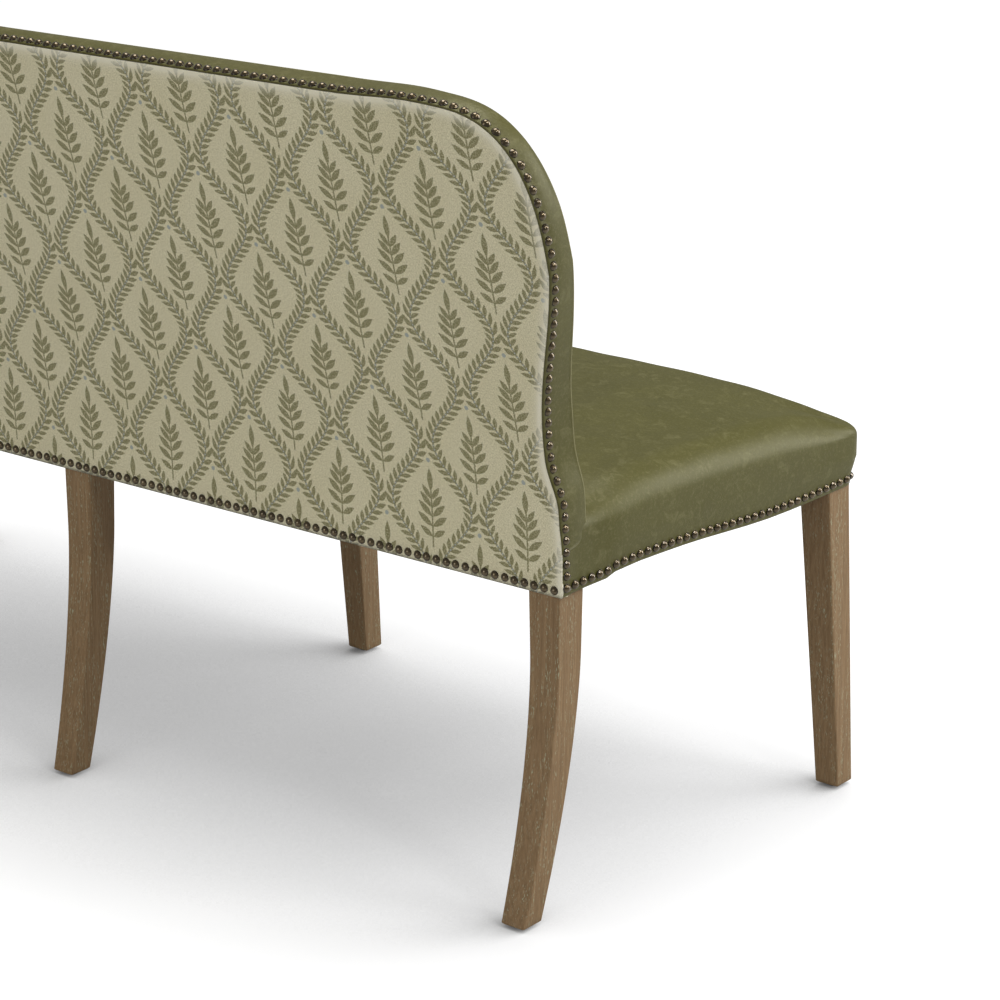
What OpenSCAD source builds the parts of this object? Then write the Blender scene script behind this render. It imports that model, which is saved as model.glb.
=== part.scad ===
// Upholstered dining bench with a raked back, on six legs.
// Millimetres. X runs along the bench, the sitter faces -Y, Z is up.
// The origin is on the floor, below the middle of the bench.

/* [Seat] */
// Half of the seat's width where it meets the back
seat_half_rear = 761; // [640:1:820]
// How much further out each end stands at the front corner
seat_flare = 36; // [0:1:60]
// Depth of the seat from the front leather to the rear fabric
seat_d = 545; // [460:1:600]
// Height of the upholstery's lower edge over the floor
leg_h = 395; // [340:1:440]
// Height of the upright border around the rails
border_h = 60; // [52:1:80]
// Height of the cushion's shoulder above the border
shoulder_h = 50; // [42:1:60]
// Rise of the crown above the shoulder
crown_h = 7; // [4:1:20]
// Reach of the rounded shoulder in from the side
shoulder_w = 34; // [24:1:40]
// Reach of the crown in from the shoulder
crown_run = 170; // [120:5:190]
// Radius of the seat's front corners in plan
corner_r = 18; // [16:1:24]
// How far the cushion is pulled down at its front corners
corner_pull = 24; // [6:1:30]
// How far its end is drawn down where it meets the back
rear_pull = 16; // [6:1:20]

/* [Back] */
// Height of the back panel from its lower edge to its top
back_h = 556; // [500:1:640]
// Rake of the back from upright, in degrees
rake = 14.5; // [8:0.5:18]
// Radius of the bend between the upright rail and the raked part
bend_r = 800; // [600:10:1000]
// Height above the lower edge at which the bend starts
bend_up = 10; // [4:1:30]
// How much narrower each side is at the waist than at the seat
waist_in = 12; // [4:1:24]
// Height of the waist above the lower edge
waist_up = 161; // [140:1:200]
// How much further out each side stands at its widest than at the waist
wide_out = 51; // [30:1:60]
// Height of the widest level above the lower edge
wide_up = 430; // [350:1:450]
// Width of the big rounded top corner
top_corner_w = 124; // [100:1:220]
// Height of the big rounded top corner
top_corner_h = 172; // [130:1:190]
// Thickness of the side band at seat level, up to its front seam
band_t_low = 50; // [44:1:56]
// Thickness of the side band at the top
band_t_top = 39; // [38:1:44]
// How far the inside back stands out in front of the seam
back_crown = 20; // [14:1:26]
// Reach of the inside back's crown in from its rounded edge
back_crown_run = 110; // [80:5:140]

/* [Covers] */
// Thickness of the leather with its wadding
cover_t = 3; // [2:0.25:3.5]
// Thickness of the border's leather and wadding over the rails
border_t = 4; // [3:0.25:5]
// Thickness of the rear fabric with its liner board
panel_t = 3; // [2:0.25:4]
// Thickness of the deck cloth
deck_t = 0.8; // [0.5:0.1:1.2]
// Thickness of the dust cover
dust_t = 1; // [0.6:0.1:1.5]

/* [Frame] */
// Thickness of the seat rails
rail_t = 25; // [20:1:30]
// How much higher the end rails' lower faces are than those of the long rails
end_lift = 10; // [6:1:14]
// Thickness of the back posts and back rails
post_t = 28; // [22:1:30]
// Width of the end posts
post_w = 38; // [30:1:44]
// Distance of the end posts' outer faces in from the waist
post_in = 7; // [5:1:12]
// Height of the back's top rail
top_rail_h = 62; // [50:1:80]
// Height of the back's lower rail
low_rail_h = 50; // [40:1:60]
// Height of the lower back rail above the seat rails
low_rail_gap = 48; // [30:1:60]
// Height above the waist at which the side ears start
ear_up = 75; // [60:1:90]
// Width of a webbing strap
strap_w = 50; // [40:1:60]
// Thickness of a webbing strap
strap_t = 1.5; // [1:0.1:2]
// Distance of a strap's ends in from the rails' outer faces
strap_end = 5; // [3:1:8]
// Spacing of the seat's straps
strap_pitch = 105; // [90:1:130]
// Spacing of the back's upright straps
back_strap_pitch = 150; // [120:1:190]
// Leg length of a corner block
block_l = 60; // [50:1:75]
// Height of a corner block
block_h = 40; // [30:1:46]
// Diameter of a block screw's head
screw_d = 9; // [7:0.5:11]
// Height of a block screw's head
screw_h = 2.4; // [1.6:0.1:3]

/* [Legs] */
// Width of a leg along the bench, at the top
leg_w = 43; // [36:1:46]
// Width of a leg along the bench, at the foot
foot_w = 33; // [26:1:36]
// Depth of a leg front to back, at the top
leg_d = 45; // [40:1:50]
// Depth of a leg front to back, at the foot
foot_d = 33; // [26:1:36]
// How far the rear feet kick back
rear_kick = 48; // [20:1:70]
// How far the rear end feet draw in along the bench
rear_draw = 12; // [0:1:20]
// Height at which the rear legs begin to curve
curve_top = 320; // [260:5:335]
// How far the front feet lean forward
front_lean = 22; // [0:1:35]
// How far the front end feet splay along the bench
front_splay = 5; // [0:1:6]
// Setback of the legs' faces from the upholstery's edge
leg_set = 6; // [5:0.5:10]
// Setback of the front legs' hidden upper blocks from the rails' faces
block_set = 4; // [3.5:0.5:6]
// Diameter of a glide
glide_d = 17; // [12:1:24]
// Height of a glide
glide_h = 4.5; // [3:0.5:8]
// Height of the chamfer around a glide's sole
glide_chamfer = 1; // [0.5:0.25:1.5]

/* [Nails] */
// Diameter of a nail's dome
nail_d = 10.5; // [8:0.25:12]
// Height of a nail's dome
nail_h = 3.4; // [2.5:0.1:4]
// Spacing of the nails
nail_pitch = 14; // [12.5:0.25:18]
// Distance of the side nails in front of the rear face
nail_set = 8.5; // [8:0.25:10]
// Height of the lower nail rows above the upholstery's edge
nail_up = 9; // [8:0.25:12]
// Spacing of the dust cover's staples
staple_pitch = 120; // [80:5:160]
// Length of a staple's crown
staple_l = 12; // [8:1:14]
// Width and height of a staple's wire
staple_t = 0.9; // [0.7:0.1:1.2]

/* [Hidden] */

// Clearance of soft pieces that only touch
soft_gap = 0.3;
// Number of steps in a long curve and in a small arc
curve_steps = 14;
arc_steps = 6;
// How square the top corner is: 2 would be an ellipse
corner_power = 2.64;
// How steeply the rear legs' curve grows
kick_power = 1.65;
// Straight stretch of the border beside each rear corner
straight_run = 24;
// Height above the seat rails at which the sides start to draw in to the waist
hold_up = 40;
// Reach of the pull at the front corners and beside the back, and over the top
pull_reach = 75;
rear_pull_reach = 45;
pull_over = 120;
// Bulge of the cushion's side, and how squarely its rear edge holds
side_bulge = 4;
rear_draw_in = 0.3;
// How much the inside back's lower edge rises as it comes forward
base_rise = 0.25;
// Share of the inside back's crown that its rounded edge makes
lip_share = 0.8;
// Far beyond the bench, for blocks that are cut to shape
far = 2400;

// Levels
rail_z = leg_h + dust_t;
deck_z = leg_h + border_h;
top_z = leg_h + back_h;
foam_z = deck_z + 2 * strap_t + deck_t;

// Rear face of the back: how far it leans behind the rear rail at a height
bend_z = leg_h + bend_up;
bend_end_z = bend_z + bend_r * sin(rake);
function lean(z) =
    z <= bend_z ? 0 :
    z <= bend_end_z ? bend_r - sqrt(bend_r * bend_r - (z - bend_z) * (z - bend_z)) :
    bend_r * (1 - cos(rake)) + (z - bend_end_z) * tan(rake);

// The depth from the front feet to the top of the back is centred on the origin
front_reach = seat_d - leg_set + front_lean;
rear_y = (front_reach - lean(top_z)) / 2;
front_y = rear_y - seat_d;
function back_y(z) = rear_y + lean(z);
// A point of the back at thickness t in front of its rear face
function back_point(x, z, t) = [x, back_y(z) - t * cos(rake), z + t * sin(rake)];
// A height of the rear face, measured along the raked plane
function up_rake(z) = back_y(z) * sin(rake) + z * cos(rake);
function level(i, z0, z1) = z0 + (z1 - z0) * i / curve_steps;

// Outline of the back
hold_z = deck_z + hold_up;
waist_z = leg_h + waist_up;
wide_z = leg_h + wide_up;
corner_z = top_z - top_corner_h;
waist_half = seat_half_rear - waist_in;
function ease(t) = (1 - cos(180 * min(1, max(0, t)))) / 2;
function side_half(z) =
    z < waist_z
    ? seat_half_rear - waist_in * ease((z - hold_z) / (waist_z - hold_z))
    : waist_half + wide_out * ease((z - waist_z) / (wide_z - waist_z));
// Its right side from height z0 up to the middle of the top, inset all round, as [x, height]
function half_outline(inset, z0) = concat(
    [for (i = [0:curve_steps]) let (z = level(i, z0, corner_z)) [side_half(z) - inset, z]],
    [for (i = [1:curve_steps])
        let (a = 90 * i / curve_steps,
             c = i == curve_steps ? 0 : pow(cos(a), 2 / corner_power),
             s = pow(sin(a), 2 / corner_power))
        [side_half(corner_z) - top_corner_w + (top_corner_w - inset) * c,
         corner_z + (top_corner_h - inset) * s]]);
// Thickness from the rear face to the side band's front seam
function seam_t(z) =
    band_t_low + (band_t_top - band_t_low) * (z - deck_z) / (top_z - deck_z);

module sideways(x0, x1)
    translate([x0, 0, 0]) rotate([90, 0, 90]) linear_extrude(x1 - x0) children();
module frontwards()
    translate([0, far / 2, 0]) rotate([90, 0, 0]) linear_extrude(far) children();
module above(z) translate([-far / 2, -far / 2, z]) cube(far);

// The outline pushed through the back at right angles to the raked plane
module outline_block(inset)
    rotate([90 - rake, 0, 0])
        translate([0, 0, -far / 2])
            linear_extrude(far)
                polygon(let (h = half_outline(inset, leg_h - 2), n = len(h))
                    concat([for (p = h) [p.x, up_rake(p.y)]],
                           [for (i = [n - 1:-1:0]) [-h[i].x, up_rake(h[i].y)]]));

// A bent sheet between two heights and two thicknesses, as wide as any bench
module sheet_block(z0, z1, t0, t1, to_seam = false)
    sideways(-far / 2, far / 2)
        polygon(concat(
            [for (i = [0:curve_steps])
                let (p = back_point(0, level(i, z0, z1), t0)) [p.y, p.z]],
            [for (i = [curve_steps:-1:0])
                let (z = level(i, z0, z1), p = back_point(0, z, to_seam ? seam_t(z) : t1))
                [p.y, p.z]]));

// A layer of the back, cut to the outline
over = 6;
module back_layer(inset, z0, z1, t0, t1)
    intersection() {
        outline_block(inset);
        sheet_block(z0, z1, t0, t1);
    }

// The seat's plan
flare_run = seat_d - straight_run;
flare_angle = atan2(seat_flare, flare_run);
seat_half_front = seat_half_rear + seat_flare;
function seat_half_at(y) =
    seat_half_rear + max(0, rear_y - straight_run - y) * seat_flare / flare_run;
corner_x = seat_half_front - corner_r * (1 + sin(flare_angle)) / cos(flare_angle);
// The right front corner, from the front round to the side
function corner_arc(inset) =
    [for (i = [0:arc_steps])
        let (a = -90 + (90 + flare_angle) * i / arc_steps, r = corner_r - inset)
        [corner_x + r * cos(a), front_y + corner_r + r * sin(a)]];
function mirrored(list) = [for (i = [len(list) - 1:-1:0]) [-list[i].x, list[i].y]];
function plan_right(inset, y_end) = concat(
    corner_arc(inset),
    [[seat_half_rear - inset, rear_y - straight_run], [seat_half_rear - inset, y_end]]);
function plan(inset, y_end) =
    let (r = plan_right(inset, y_end)) concat(r, mirrored(r));

// Profile of the cushion from its lower edge to its plateau: [inset, height, pull]
function pull_share(inset, z) =
    max(0, 1 - inset / pull_over) * min(1, max(0, (z - foam_z) / (deck_z + shoulder_h - foam_z)));
seat_curve = concat(
    [[0, deck_z], [-side_bulge * 0.7, deck_z + (shoulder_h - shoulder_w) / 2]],
    [for (i = [0:arc_steps])
        let (a = 90 * i / arc_steps)
        [(shoulder_w + side_bulge) * (1 - cos(a)) - side_bulge,
         deck_z + shoulder_h - shoulder_w + shoulder_w * sin(a)]],
    [for (k = [0.12, 0.3, 0.6, 1])
        [shoulder_w + k * crown_run, deck_z + shoulder_h + crown_h * sin(90 * k)]]);
seat_profile = [for (s = seat_curve) [s[0], s[1], pull_share(s[0], s[1])]];
// A profile moved inwards by the thickness of a skin
function unit(v) = v / norm(v);
function inward(list, i, t) =
    let (a = list[max(0, i - 1)], b = list[min(len(list) - 1, i + 1)],
         d = unit([b[0] - a[0], b[1] - a[1]]))
    i == 0
    ? [list[0][0] + t, list[0][1], list[0][2]]
    : [list[i][0] + t * d[1], list[i][1] - t * d[0], list[i][2]];
function skinned(list, t) = [for (i = [0:len(list) - 1]) inward(list, i, t)];

// The inside back stands on the seat rails' level, and the cushion butts against it
back_base_z = deck_z - 4;
cushion_rear_y =
    back_point(0, back_base_z, seam_t(back_base_z) + back_crown).y - soft_gap;

// One closed loop of the cushion: a corner, the end, the rear edge and round again
side_steps = 8;
front_steps = 14;
rear_run = 16;
// Beside the inside back each rear corner reaches on to the side band, in two points: [in, back]
rear_tongue = [[0, 15], [4, 12]];
tongue_fade = 30;
function loop_corner(inset) =
    let (k = min(inset, corner_r - 2))
    [for (p = corner_arc(k)) [p.x - (inset - k), p.y + (inset - k)]];
function loop_right(inset) =
    let (c = loop_corner(inset), y0 = c[arc_steps].y,
         y1 = cushion_rear_y - min(inset, tongue_fade) * rear_draw_in,
         fade = max(0, 1 - inset / tongue_fade), half = seat_half_at(y1) - inset)
    concat(c,
        [for (i = [1:side_steps - 1])
            let (y = y0 + (y1 - y0) * pow(i / side_steps, 1.6)) [seat_half_at(y) - inset, y]],
        [for (t = rear_tongue) [half - t[0], y1 + t[1] * fade]],
        [[half - rear_run, y1]]);
function cushion_loop(inset) =
    let (r = loop_right(inset), w = r[0].x)
    concat(r, mirrored(r),
           [for (i = [1:front_steps - 1]) [-w + 2 * w * i / front_steps, r[0].y]]);
function near_corner(p, inset) =
    exp(-pow(norm([abs(p.x) - seat_half_front + inset, p.y - front_y - inset]) / pull_reach, 2));
function near_back(p, inset) =
    exp(-pow(norm([abs(p.x) - seat_half_rear + inset, p.y - cushion_rear_y]) / rear_pull_reach, 2));
// The rear edge's inner points stay above the webbing
rear_index = arc_steps + side_steps + len(rear_tongue);
function ring_height(i, p, s) =
    let (z = s[1] - (corner_pull * near_corner(p, s[0]) + rear_pull * near_back(p, s[0])) * s[2])
    i == rear_index || i == rear_index + 1 ? max(z, foam_z) : z;
function cushion_ring(s) =
    let (l = cushion_loop(s[0])) [for (i = [0:len(l) - 1]) [l[i].x, l[i].y, ring_height(i, l[i], s)]];

// A closed body through rings of equal length with flat ends, which fan out from a rounded corner
cap_from = arc_steps / 2;
module lofted(rings) {
    n = len(rings[0]);
    m = len(rings);
    polyhedron(
        points = [for (r = rings) each r],
        faces = concat(
            [for (k = [0:m - 2], i = [0:n - 1])
                each [[k * n + i, (k + 1) * n + (i + 1) % n, k * n + (i + 1) % n],
                      [k * n + i, (k + 1) * n + i, (k + 1) * n + (i + 1) % n]]],
            [[for (i = [0:n - 1]) (i + cap_from) % n]],
            [[for (i = [0:n - 1]) (m - 1) * n + (n + cap_from - i) % n]]),
        convexity = 6);
}

// The inside back: loops over its outline, right side up and left side down
function back_loop(inset, base) =
    let (h = half_outline(inset, base), n = len(h))
    concat(h, [for (i = [n - 1:-1:0]) [-h[i].x, h[i].y]]);
// Its profile in front of the seam: [inset, rise]
lip_r = back_crown * lip_share;
back_profile = concat(
    [for (i = [0:arc_steps]) let (a = 90 * i / arc_steps) [lip_r * (1 - cos(a)), lip_r * sin(a), 0]],
    [for (k = [0.25, 0.6, 1])
        [lip_r + back_crown_run * k, lip_r + (back_crown - lip_r) * sin(90 * k), 0]]);
function base_at(inset, skin) = back_base_z + skin + base_rise * min(inset, lip_r);
function back_ring(s, skin) =
    [for (p = back_loop(s[0], base_at(s[0], skin))) back_point(p.x, p.y, seam_t(p.y) + s[1])];

// A closed body through rings whose ends are strips from side to side
module strip_lofted(rings) {
    n = len(rings[0]);
    m = len(rings);
    polyhedron(
        points = [for (r = rings) each r],
        faces = concat(
            [for (k = [0:m - 2], i = [0:n - 1])
                each [[k * n + i, (k + 1) * n + (i + 1) % n, k * n + (i + 1) % n],
                      [k * n + i, (k + 1) * n + i, (k + 1) * n + (i + 1) % n]]],
            [for (i = [0:n / 2 - 2])
                each [[i, i + 1, n - 2 - i], [i, n - 2 - i, n - 1 - i]]],
            [for (i = [0:n / 2 - 2])
                let (b = (m - 1) * n)
                each [[b + i, b + n - 2 - i, b + i + 1], [b + i, b + n - 1 - i, b + n - 2 - i]]]),
        convexity = 6);
}

wood = [0.47, 0.39, 0.29];
pale_wood = [0.78, 0.66, 0.48];
leather = [0.40, 0.40, 0.27];
fabric = [0.74, 0.71, 0.60];
bronze = [0.30, 0.22, 0.15];
foam_white = [0.93, 0.91, 0.82];
webbing_tan = [0.62, 0.52, 0.38];
black_cloth = [0.15, 0.15, 0.15];

// Rear legs, which run on as the back's posts
function kick(z) = pow(max(0, curve_top - z) / curve_top, kick_power);
function at_foot(z) = max(0, leg_h - z) / leg_h;
function leg_depth(z) = leg_d + (foot_d - leg_d) * at_foot(z);
function leg_width(z) = leg_w + (foot_w - leg_w) * at_foot(z);
leg_y = rear_y - panel_t;
leg_levels = [for (i = [0:curve_steps]) level(i, glide_h, curve_top)];
post_front_t = panel_t + post_t;
post_top_z = top_z - cover_t - top_rail_h;
module rear_leg_side()
    polygon(concat(
        [for (z = leg_levels) [leg_y + rear_kick * kick(z), z]],
        [for (i = [0:curve_steps])
            let (p = back_point(0, level(i, bend_z, post_top_z), panel_t)) [p.y, p.z]],
        [for (i = [curve_steps:-1:0])
            let (p = back_point(0, level(i, deck_z, post_top_z), post_front_t)) [p.y, p.z]],
        [[leg_y - leg_d, deck_z], [leg_y - leg_d, leg_h]],
        [for (i = [curve_steps:-1:0])
            let (z = leg_levels[i]) [leg_y + rear_kick * kick(z) - leg_depth(z), z]]));

end_leg_x = seat_half_rear - leg_set;
end_leg_in = end_leg_x - leg_w;
post_out = waist_half - post_in;
module rear_end_leg()
    color(wood)
        intersection() {
            sideways(0, far) rear_leg_side();
            frontwards()
                polygon(concat(
                    [for (z = leg_levels) [end_leg_x - rear_draw * kick(z), z]],
                    [[end_leg_x, leg_h], [end_leg_x, deck_z], [post_out, deck_z],
                     [post_out, top_z], [post_out - post_w, top_z], [post_out - post_w, deck_z],
                     [end_leg_in, deck_z], [end_leg_in, leg_h]],
                    [for (i = [curve_steps:-1:0])
                        let (z = leg_levels[i])
                        [end_leg_x - rear_draw * kick(z) - leg_width(z), z]]));
        }
module rear_leg_right() rear_end_leg();
module rear_leg_left() mirror([1, 0, 0]) rear_end_leg();
module rear_leg_middle()
    color(wood)
        intersection() {
            sideways(-leg_w, leg_w) rear_leg_side();
            frontwards()
                polygon([[-foot_w / 2, 0], [foot_w / 2, 0], [leg_w / 2, leg_h], [leg_w / 2, top_z],
                         [-leg_w / 2, top_z], [-leg_w / 2, leg_h]]);
        }

// Front legs, with a block between the rails above a leg that leans out
rail_front_y = front_y + border_t;
rail_back_y = rail_front_y + rail_t;
front_leg_x = seat_half_front - leg_set;
front_leg_in = front_leg_x - leg_w;
block_out = seat_half_front - border_t - block_set;
front_face_y = front_y + leg_set;
front_leg_back_y = front_face_y + leg_d;
module front_leg_side(block_y)
    polygon([[front_face_y - front_lean, glide_h], [front_face_y, leg_h], [block_y, leg_h],
             [block_y, deck_z], [front_leg_back_y, deck_z], [front_leg_back_y, leg_h],
             [front_face_y - front_lean + foot_d, glide_h]]);
module front_end_leg()
    color(wood)
        intersection() {
            sideways(0, far) front_leg_side(rail_front_y + block_set);
            frontwards()
                polygon([[front_leg_x + front_splay - foot_w, glide_h], [front_leg_in, leg_h],
                         [front_leg_in, deck_z], [block_out, deck_z], [block_out, leg_h],
                         [front_leg_x, leg_h], [front_leg_x + front_splay, glide_h]]);
        }
module front_leg_right() front_end_leg();
module front_leg_left() mirror([1, 0, 0]) front_end_leg();
module front_leg_middle()
    color(wood)
        intersection() {
            sideways(-leg_w, leg_w) front_leg_side(rail_back_y);
            frontwards()
                polygon([[-foot_w / 2, glide_h], [foot_w / 2, glide_h], [leg_w / 2, leg_h],
                         [leg_w / 2, deck_z], [-leg_w / 2, deck_z], [-leg_w / 2, leg_h]]);
        }

// Glides under the middle of each foot
rear_foot_y = leg_y + rear_kick * kick(glide_h) - leg_depth(glide_h) / 2;
rear_foot_x = end_leg_x - rear_draw * kick(glide_h) - leg_width(glide_h) / 2;
front_foot_y = front_face_y - front_lean + foot_d / 2;
front_foot_x = front_leg_x + front_splay - foot_w / 2;
feet = [for (s = [-1, 0, 1]) each [[s * rear_foot_x, rear_foot_y], [s * front_foot_x, front_foot_y]]];
module glides()
    color("saddlebrown")
        for (f = feet)
            translate([f.x, f.y, 0]) {
                cylinder(d1 = glide_d - 2 * glide_chamfer, d2 = glide_d, h = glide_chamfer, $fn = 48);
                translate([0, 0, glide_chamfer])
                    cylinder(d = glide_d, h = glide_h - glide_chamfer, $fn = 48);
            }

// Seat rails
module front_rail()
    color(pale_wood)
        translate([-front_leg_in, rail_front_y, rail_z])
            cube([2 * front_leg_in, rail_t, deck_z - rail_z]);
rear_rail_y = leg_y - rail_t;
module rear_rail_right()
    color(pale_wood)
        translate([leg_w / 2, rear_rail_y, rail_z])
            cube([end_leg_in - leg_w / 2, rail_t, deck_z - rail_z]);
module rear_rail_left() mirror([1, 0, 0]) rear_rail_right();
rear_leg_front_y = leg_y - leg_d;
module end_rail_right()
    color(pale_wood)
        translate([0, 0, rail_z + end_lift])
            linear_extrude(deck_z - rail_z - end_lift)
                polygon(let (a = seat_half_at(front_leg_back_y) - border_t,
                             b = seat_half_at(rear_leg_front_y) - border_t)
                    [[a, front_leg_back_y], [b, rear_leg_front_y],
                     [b - rail_t, rear_leg_front_y], [a - rail_t, front_leg_back_y]]);
module end_rail_left() mirror([1, 0, 0]) end_rail_right();
module centre_rail()
    color(pale_wood)
        translate([-rail_t / 2, front_leg_back_y, rail_z])
            cube([rail_t, rear_leg_front_y - front_leg_back_y, deck_z - rail_z]);

// Three-cornered blocks between the legs and the long rails: [x, y, side along x, side along y]
block_spots = [for (s = [-1, 1]) each [
    [s * front_leg_in, rail_back_y, -s, 1], [s * end_leg_in, rear_rail_y, -s, -1],
    [s * leg_w / 2, rail_back_y, s, 1], [s * leg_w / 2, rear_rail_y, s, -1]]];
block_z = (rail_z + deck_z - block_h) / 2;
module corner_blocks()
    color(pale_wood)
        for (b = block_spots)
            translate([b[0], b[1], block_z])
                linear_extrude(block_h)
                    polygon([[0, 0], [b[2] * block_l, 0], [0, b[3] * block_l]]);
module block_screws()
    color("silver")
        for (b = block_spots, k = [-1, 1])
            translate([b[0] + b[2] * block_l / 2, b[1] + b[3] * block_l / 2,
                       block_z + block_h / 2 + k * block_h / 4])
                rotate([0, 90, atan2(b[3], b[2])])
                    cylinder(d1 = screw_d, d2 = screw_d / 2, h = screw_h, $fn = 32);

// Webbing, deck cloth and foam
cross_from = ceil((leg_w + strap_w) / 2 / strap_pitch);
cross_to = floor((post_out - post_w - strap_w / 2) / strap_pitch);
module cross_webbing()
    color(webbing_tan)
        for (s = [-1, 1], i = [cross_from:cross_to])
            translate([s * i * strap_pitch - strap_w / 2, rail_front_y + strap_end, deck_z])
                cube([strap_w, leg_y - rail_front_y - 2 * strap_end, strap_t]);
long_y0 = front_leg_back_y + strap_w / 2;
long_y1 = cushion_rear_y - cover_t - strap_w;
long_count = floor((long_y1 - long_y0) / strap_pitch);
module long_webbing()
    color(webbing_tan)
        for (i = [0:long_count])
            let (y = long_y0 + (long_y1 - long_y0) * i / long_count,
                 w = seat_half_at(y + strap_w) - border_t - strap_end)
            translate([-w, y - strap_w / 2, deck_z + strap_t]) cube([2 * w, strap_w, strap_t]);
module deck_cloth()
    color(webbing_tan)
        translate([0, 0, deck_z + 2 * strap_t])
            linear_extrude(deck_t)
                polygon(cushion_loop(cover_t + 2));
module seat_foam()
    color(foam_white)
        let (p = skinned(seat_profile, cover_t + soft_gap))
            lofted([for (i = [0:len(p) - 1]) cushion_ring(i == 0 ? [p[0][0], foam_z, 0] : p[i])]);

// Leather over the seat: a shell from the border's upper edge to the crown
module seat_cover()
    color(leather)
        let (inner = skinned(seat_profile, cover_t), n = len(inner))
            lofted(concat([for (i = [n - 1:-1:0]) cushion_ring(inner[i])],
                          [for (s = seat_profile) cushion_ring(s)]));
module seat_border()
    color(leather)
        translate([0, 0, leg_h])
            linear_extrude(border_h)
                difference() {
                    polygon(plan(0, leg_y));
                    polygon(plan(border_t, rear_y));
                }

// Black cloth stapled under the rails, cut out round the legs
module dust_cover()
    color(black_cloth)
        translate([0, 0, leg_h])
            linear_extrude(dust_t)
                difference() {
                    polygon(plan(border_t, leg_y));
                    for (s = [-1, 1]) {
                        translate([s * (end_leg_x - leg_w / 2), leg_y - leg_d / 2])
                            square([leg_w, leg_d], center = true);
                        translate([s * (front_leg_x - leg_w / 2), front_face_y + leg_d / 2])
                            square([leg_w, leg_d], center = true);
                    }
                    translate([-leg_w / 2, leg_y - leg_d]) square([leg_w, leg_d]);
                    translate([-leg_w / 2, front_face_y]) square([leg_w, leg_d]);
                }
staple_half = floor((end_leg_in - staple_l) / staple_pitch);
module dust_cover_staples()
    color("silver")
        for (s = [-1, 1], i = [1:staple_half], y = [rail_front_y + rail_t / 2, rear_rail_y + rail_t / 2])
            translate([s * i * staple_pitch - staple_l / 2, y, leg_h - staple_t])
                cube([staple_l, staple_t, staple_t]);

// Rails and ears of the back
module back_top_rail()
    color(pale_wood)
        back_layer(cover_t, post_top_z, top_z + over, panel_t, post_front_t);
low_rail_z = deck_z + low_rail_gap;
module back_lower_rail_right()
    color(pale_wood)
        intersection() {
            sheet_block(low_rail_z, low_rail_z + low_rail_h, panel_t, post_front_t);
            translate([leg_w / 2, -far / 2, 0])
                cube([post_out - post_w - leg_w / 2, far, far]);
        }
module back_lower_rail_left() mirror([1, 0, 0]) back_lower_rail_right();
module back_ear_right()
    color(pale_wood)
        intersection() {
            back_layer(cover_t, waist_z + ear_up, post_top_z, panel_t, post_front_t);
            translate([post_out, -far / 2, 0]) cube(far);
        }
module back_ear_left() mirror([1, 0, 0]) back_ear_right();

// Upright straps on the front of the back's rails
back_strap_count = floor((post_out - post_w - strap_w / 2) / back_strap_pitch);
module back_webbing()
    color(webbing_tan)
        intersection() {
            sheet_block(low_rail_z + strap_end, post_top_z + top_rail_h - 2 * strap_end,
                        post_front_t, post_front_t + strap_t);
            for (s = [-1, 1], i = [1:back_strap_count])
                translate([s * (i - 0.5) * back_strap_pitch - strap_w / 2, -far / 2, 0])
                    cube([strap_w, far, far]);
        }
foam_t0 = post_front_t + strap_t + soft_gap;
module back_foam()
    color(foam_white)
        let (skin = cover_t + soft_gap, p = skinned(back_profile, skin))
            strip_lofted(concat(
                [[for (q = back_loop(skin, base_at(skin, skin))) back_point(q.x, q.y, foam_t0)]],
                [for (s = p) back_ring(s, skin)]));
module inside_back_cover()
    color(leather)
        let (p = skinned(back_profile, cover_t), n = len(p))
            strip_lofted(concat([for (i = [n - 1:-1:0]) back_ring(p[i], cover_t)],
                                [for (s = back_profile) back_ring(s, 0)]));

// The leather band round the top and sides, and the fabric panel behind it
module back_band()
    color(leather)
        intersection() {
            difference() {
                outline_block(0);
                outline_block(cover_t);
            }
            sheet_block(leg_h, top_z + over, panel_t, band_t_low, to_seam = true);
            above(deck_z);
        }
module outside_back_panel()
    color(fabric) back_layer(0, leg_h, top_z + over, 0, panel_t);

// Domed nails
nail_ball = (nail_d * nail_d / 4 + nail_h * nail_h) / (2 * nail_h);
module nail(p, normal)
    translate(p)
        rotate([0, acos(normal.z), atan2(normal.y, normal.x)])
            intersection() {
                translate([0, 0, nail_h - nail_ball]) sphere(r = nail_ball, $fn = 32);
                cylinder(d = nail_d + 1, h = nail_h + 1, $fn = 32);
            }
// Lengths along a path, and the stretch in which a distance falls
function lengths(path, i = 0, sum = 0) =
    i >= len(path) - 1 ? [sum]
    : concat([sum], lengths(path, i + 1, sum + norm(path[i + 1] - path[i])));
function stretch(sums, d, i = 0) =
    i >= len(sums) - 2 || d < sums[i + 1] ? i : stretch(sums, d, i + 1);

edge_path = back_loop(0, leg_h - 2);
edge_points = [for (p = edge_path) back_point(p.x, p.y, nail_set)];
module back_edge_nails()
    color(bronze)
        let (sums = lengths(edge_points), from = nail_up + 2,
             total = sums[len(sums) - 1] - 2 * from, count = round(total / nail_pitch))
            for (k = [0:count])
                let (d = from + total * k / count, i = stretch(sums, d),
                     f = (d - sums[i]) / (sums[i + 1] - sums[i]),
                     dx = edge_path[i + 1].x - edge_path[i].x,
                     dw = up_rake(edge_path[i + 1].y) - up_rake(edge_path[i].y),
                     n = unit([dw, -dx]))
                nail(edge_points[i] + f * (edge_points[i + 1] - edge_points[i]),
                     [n[0], n[1] * sin(rake), n[1] * cos(rake)]);

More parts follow.
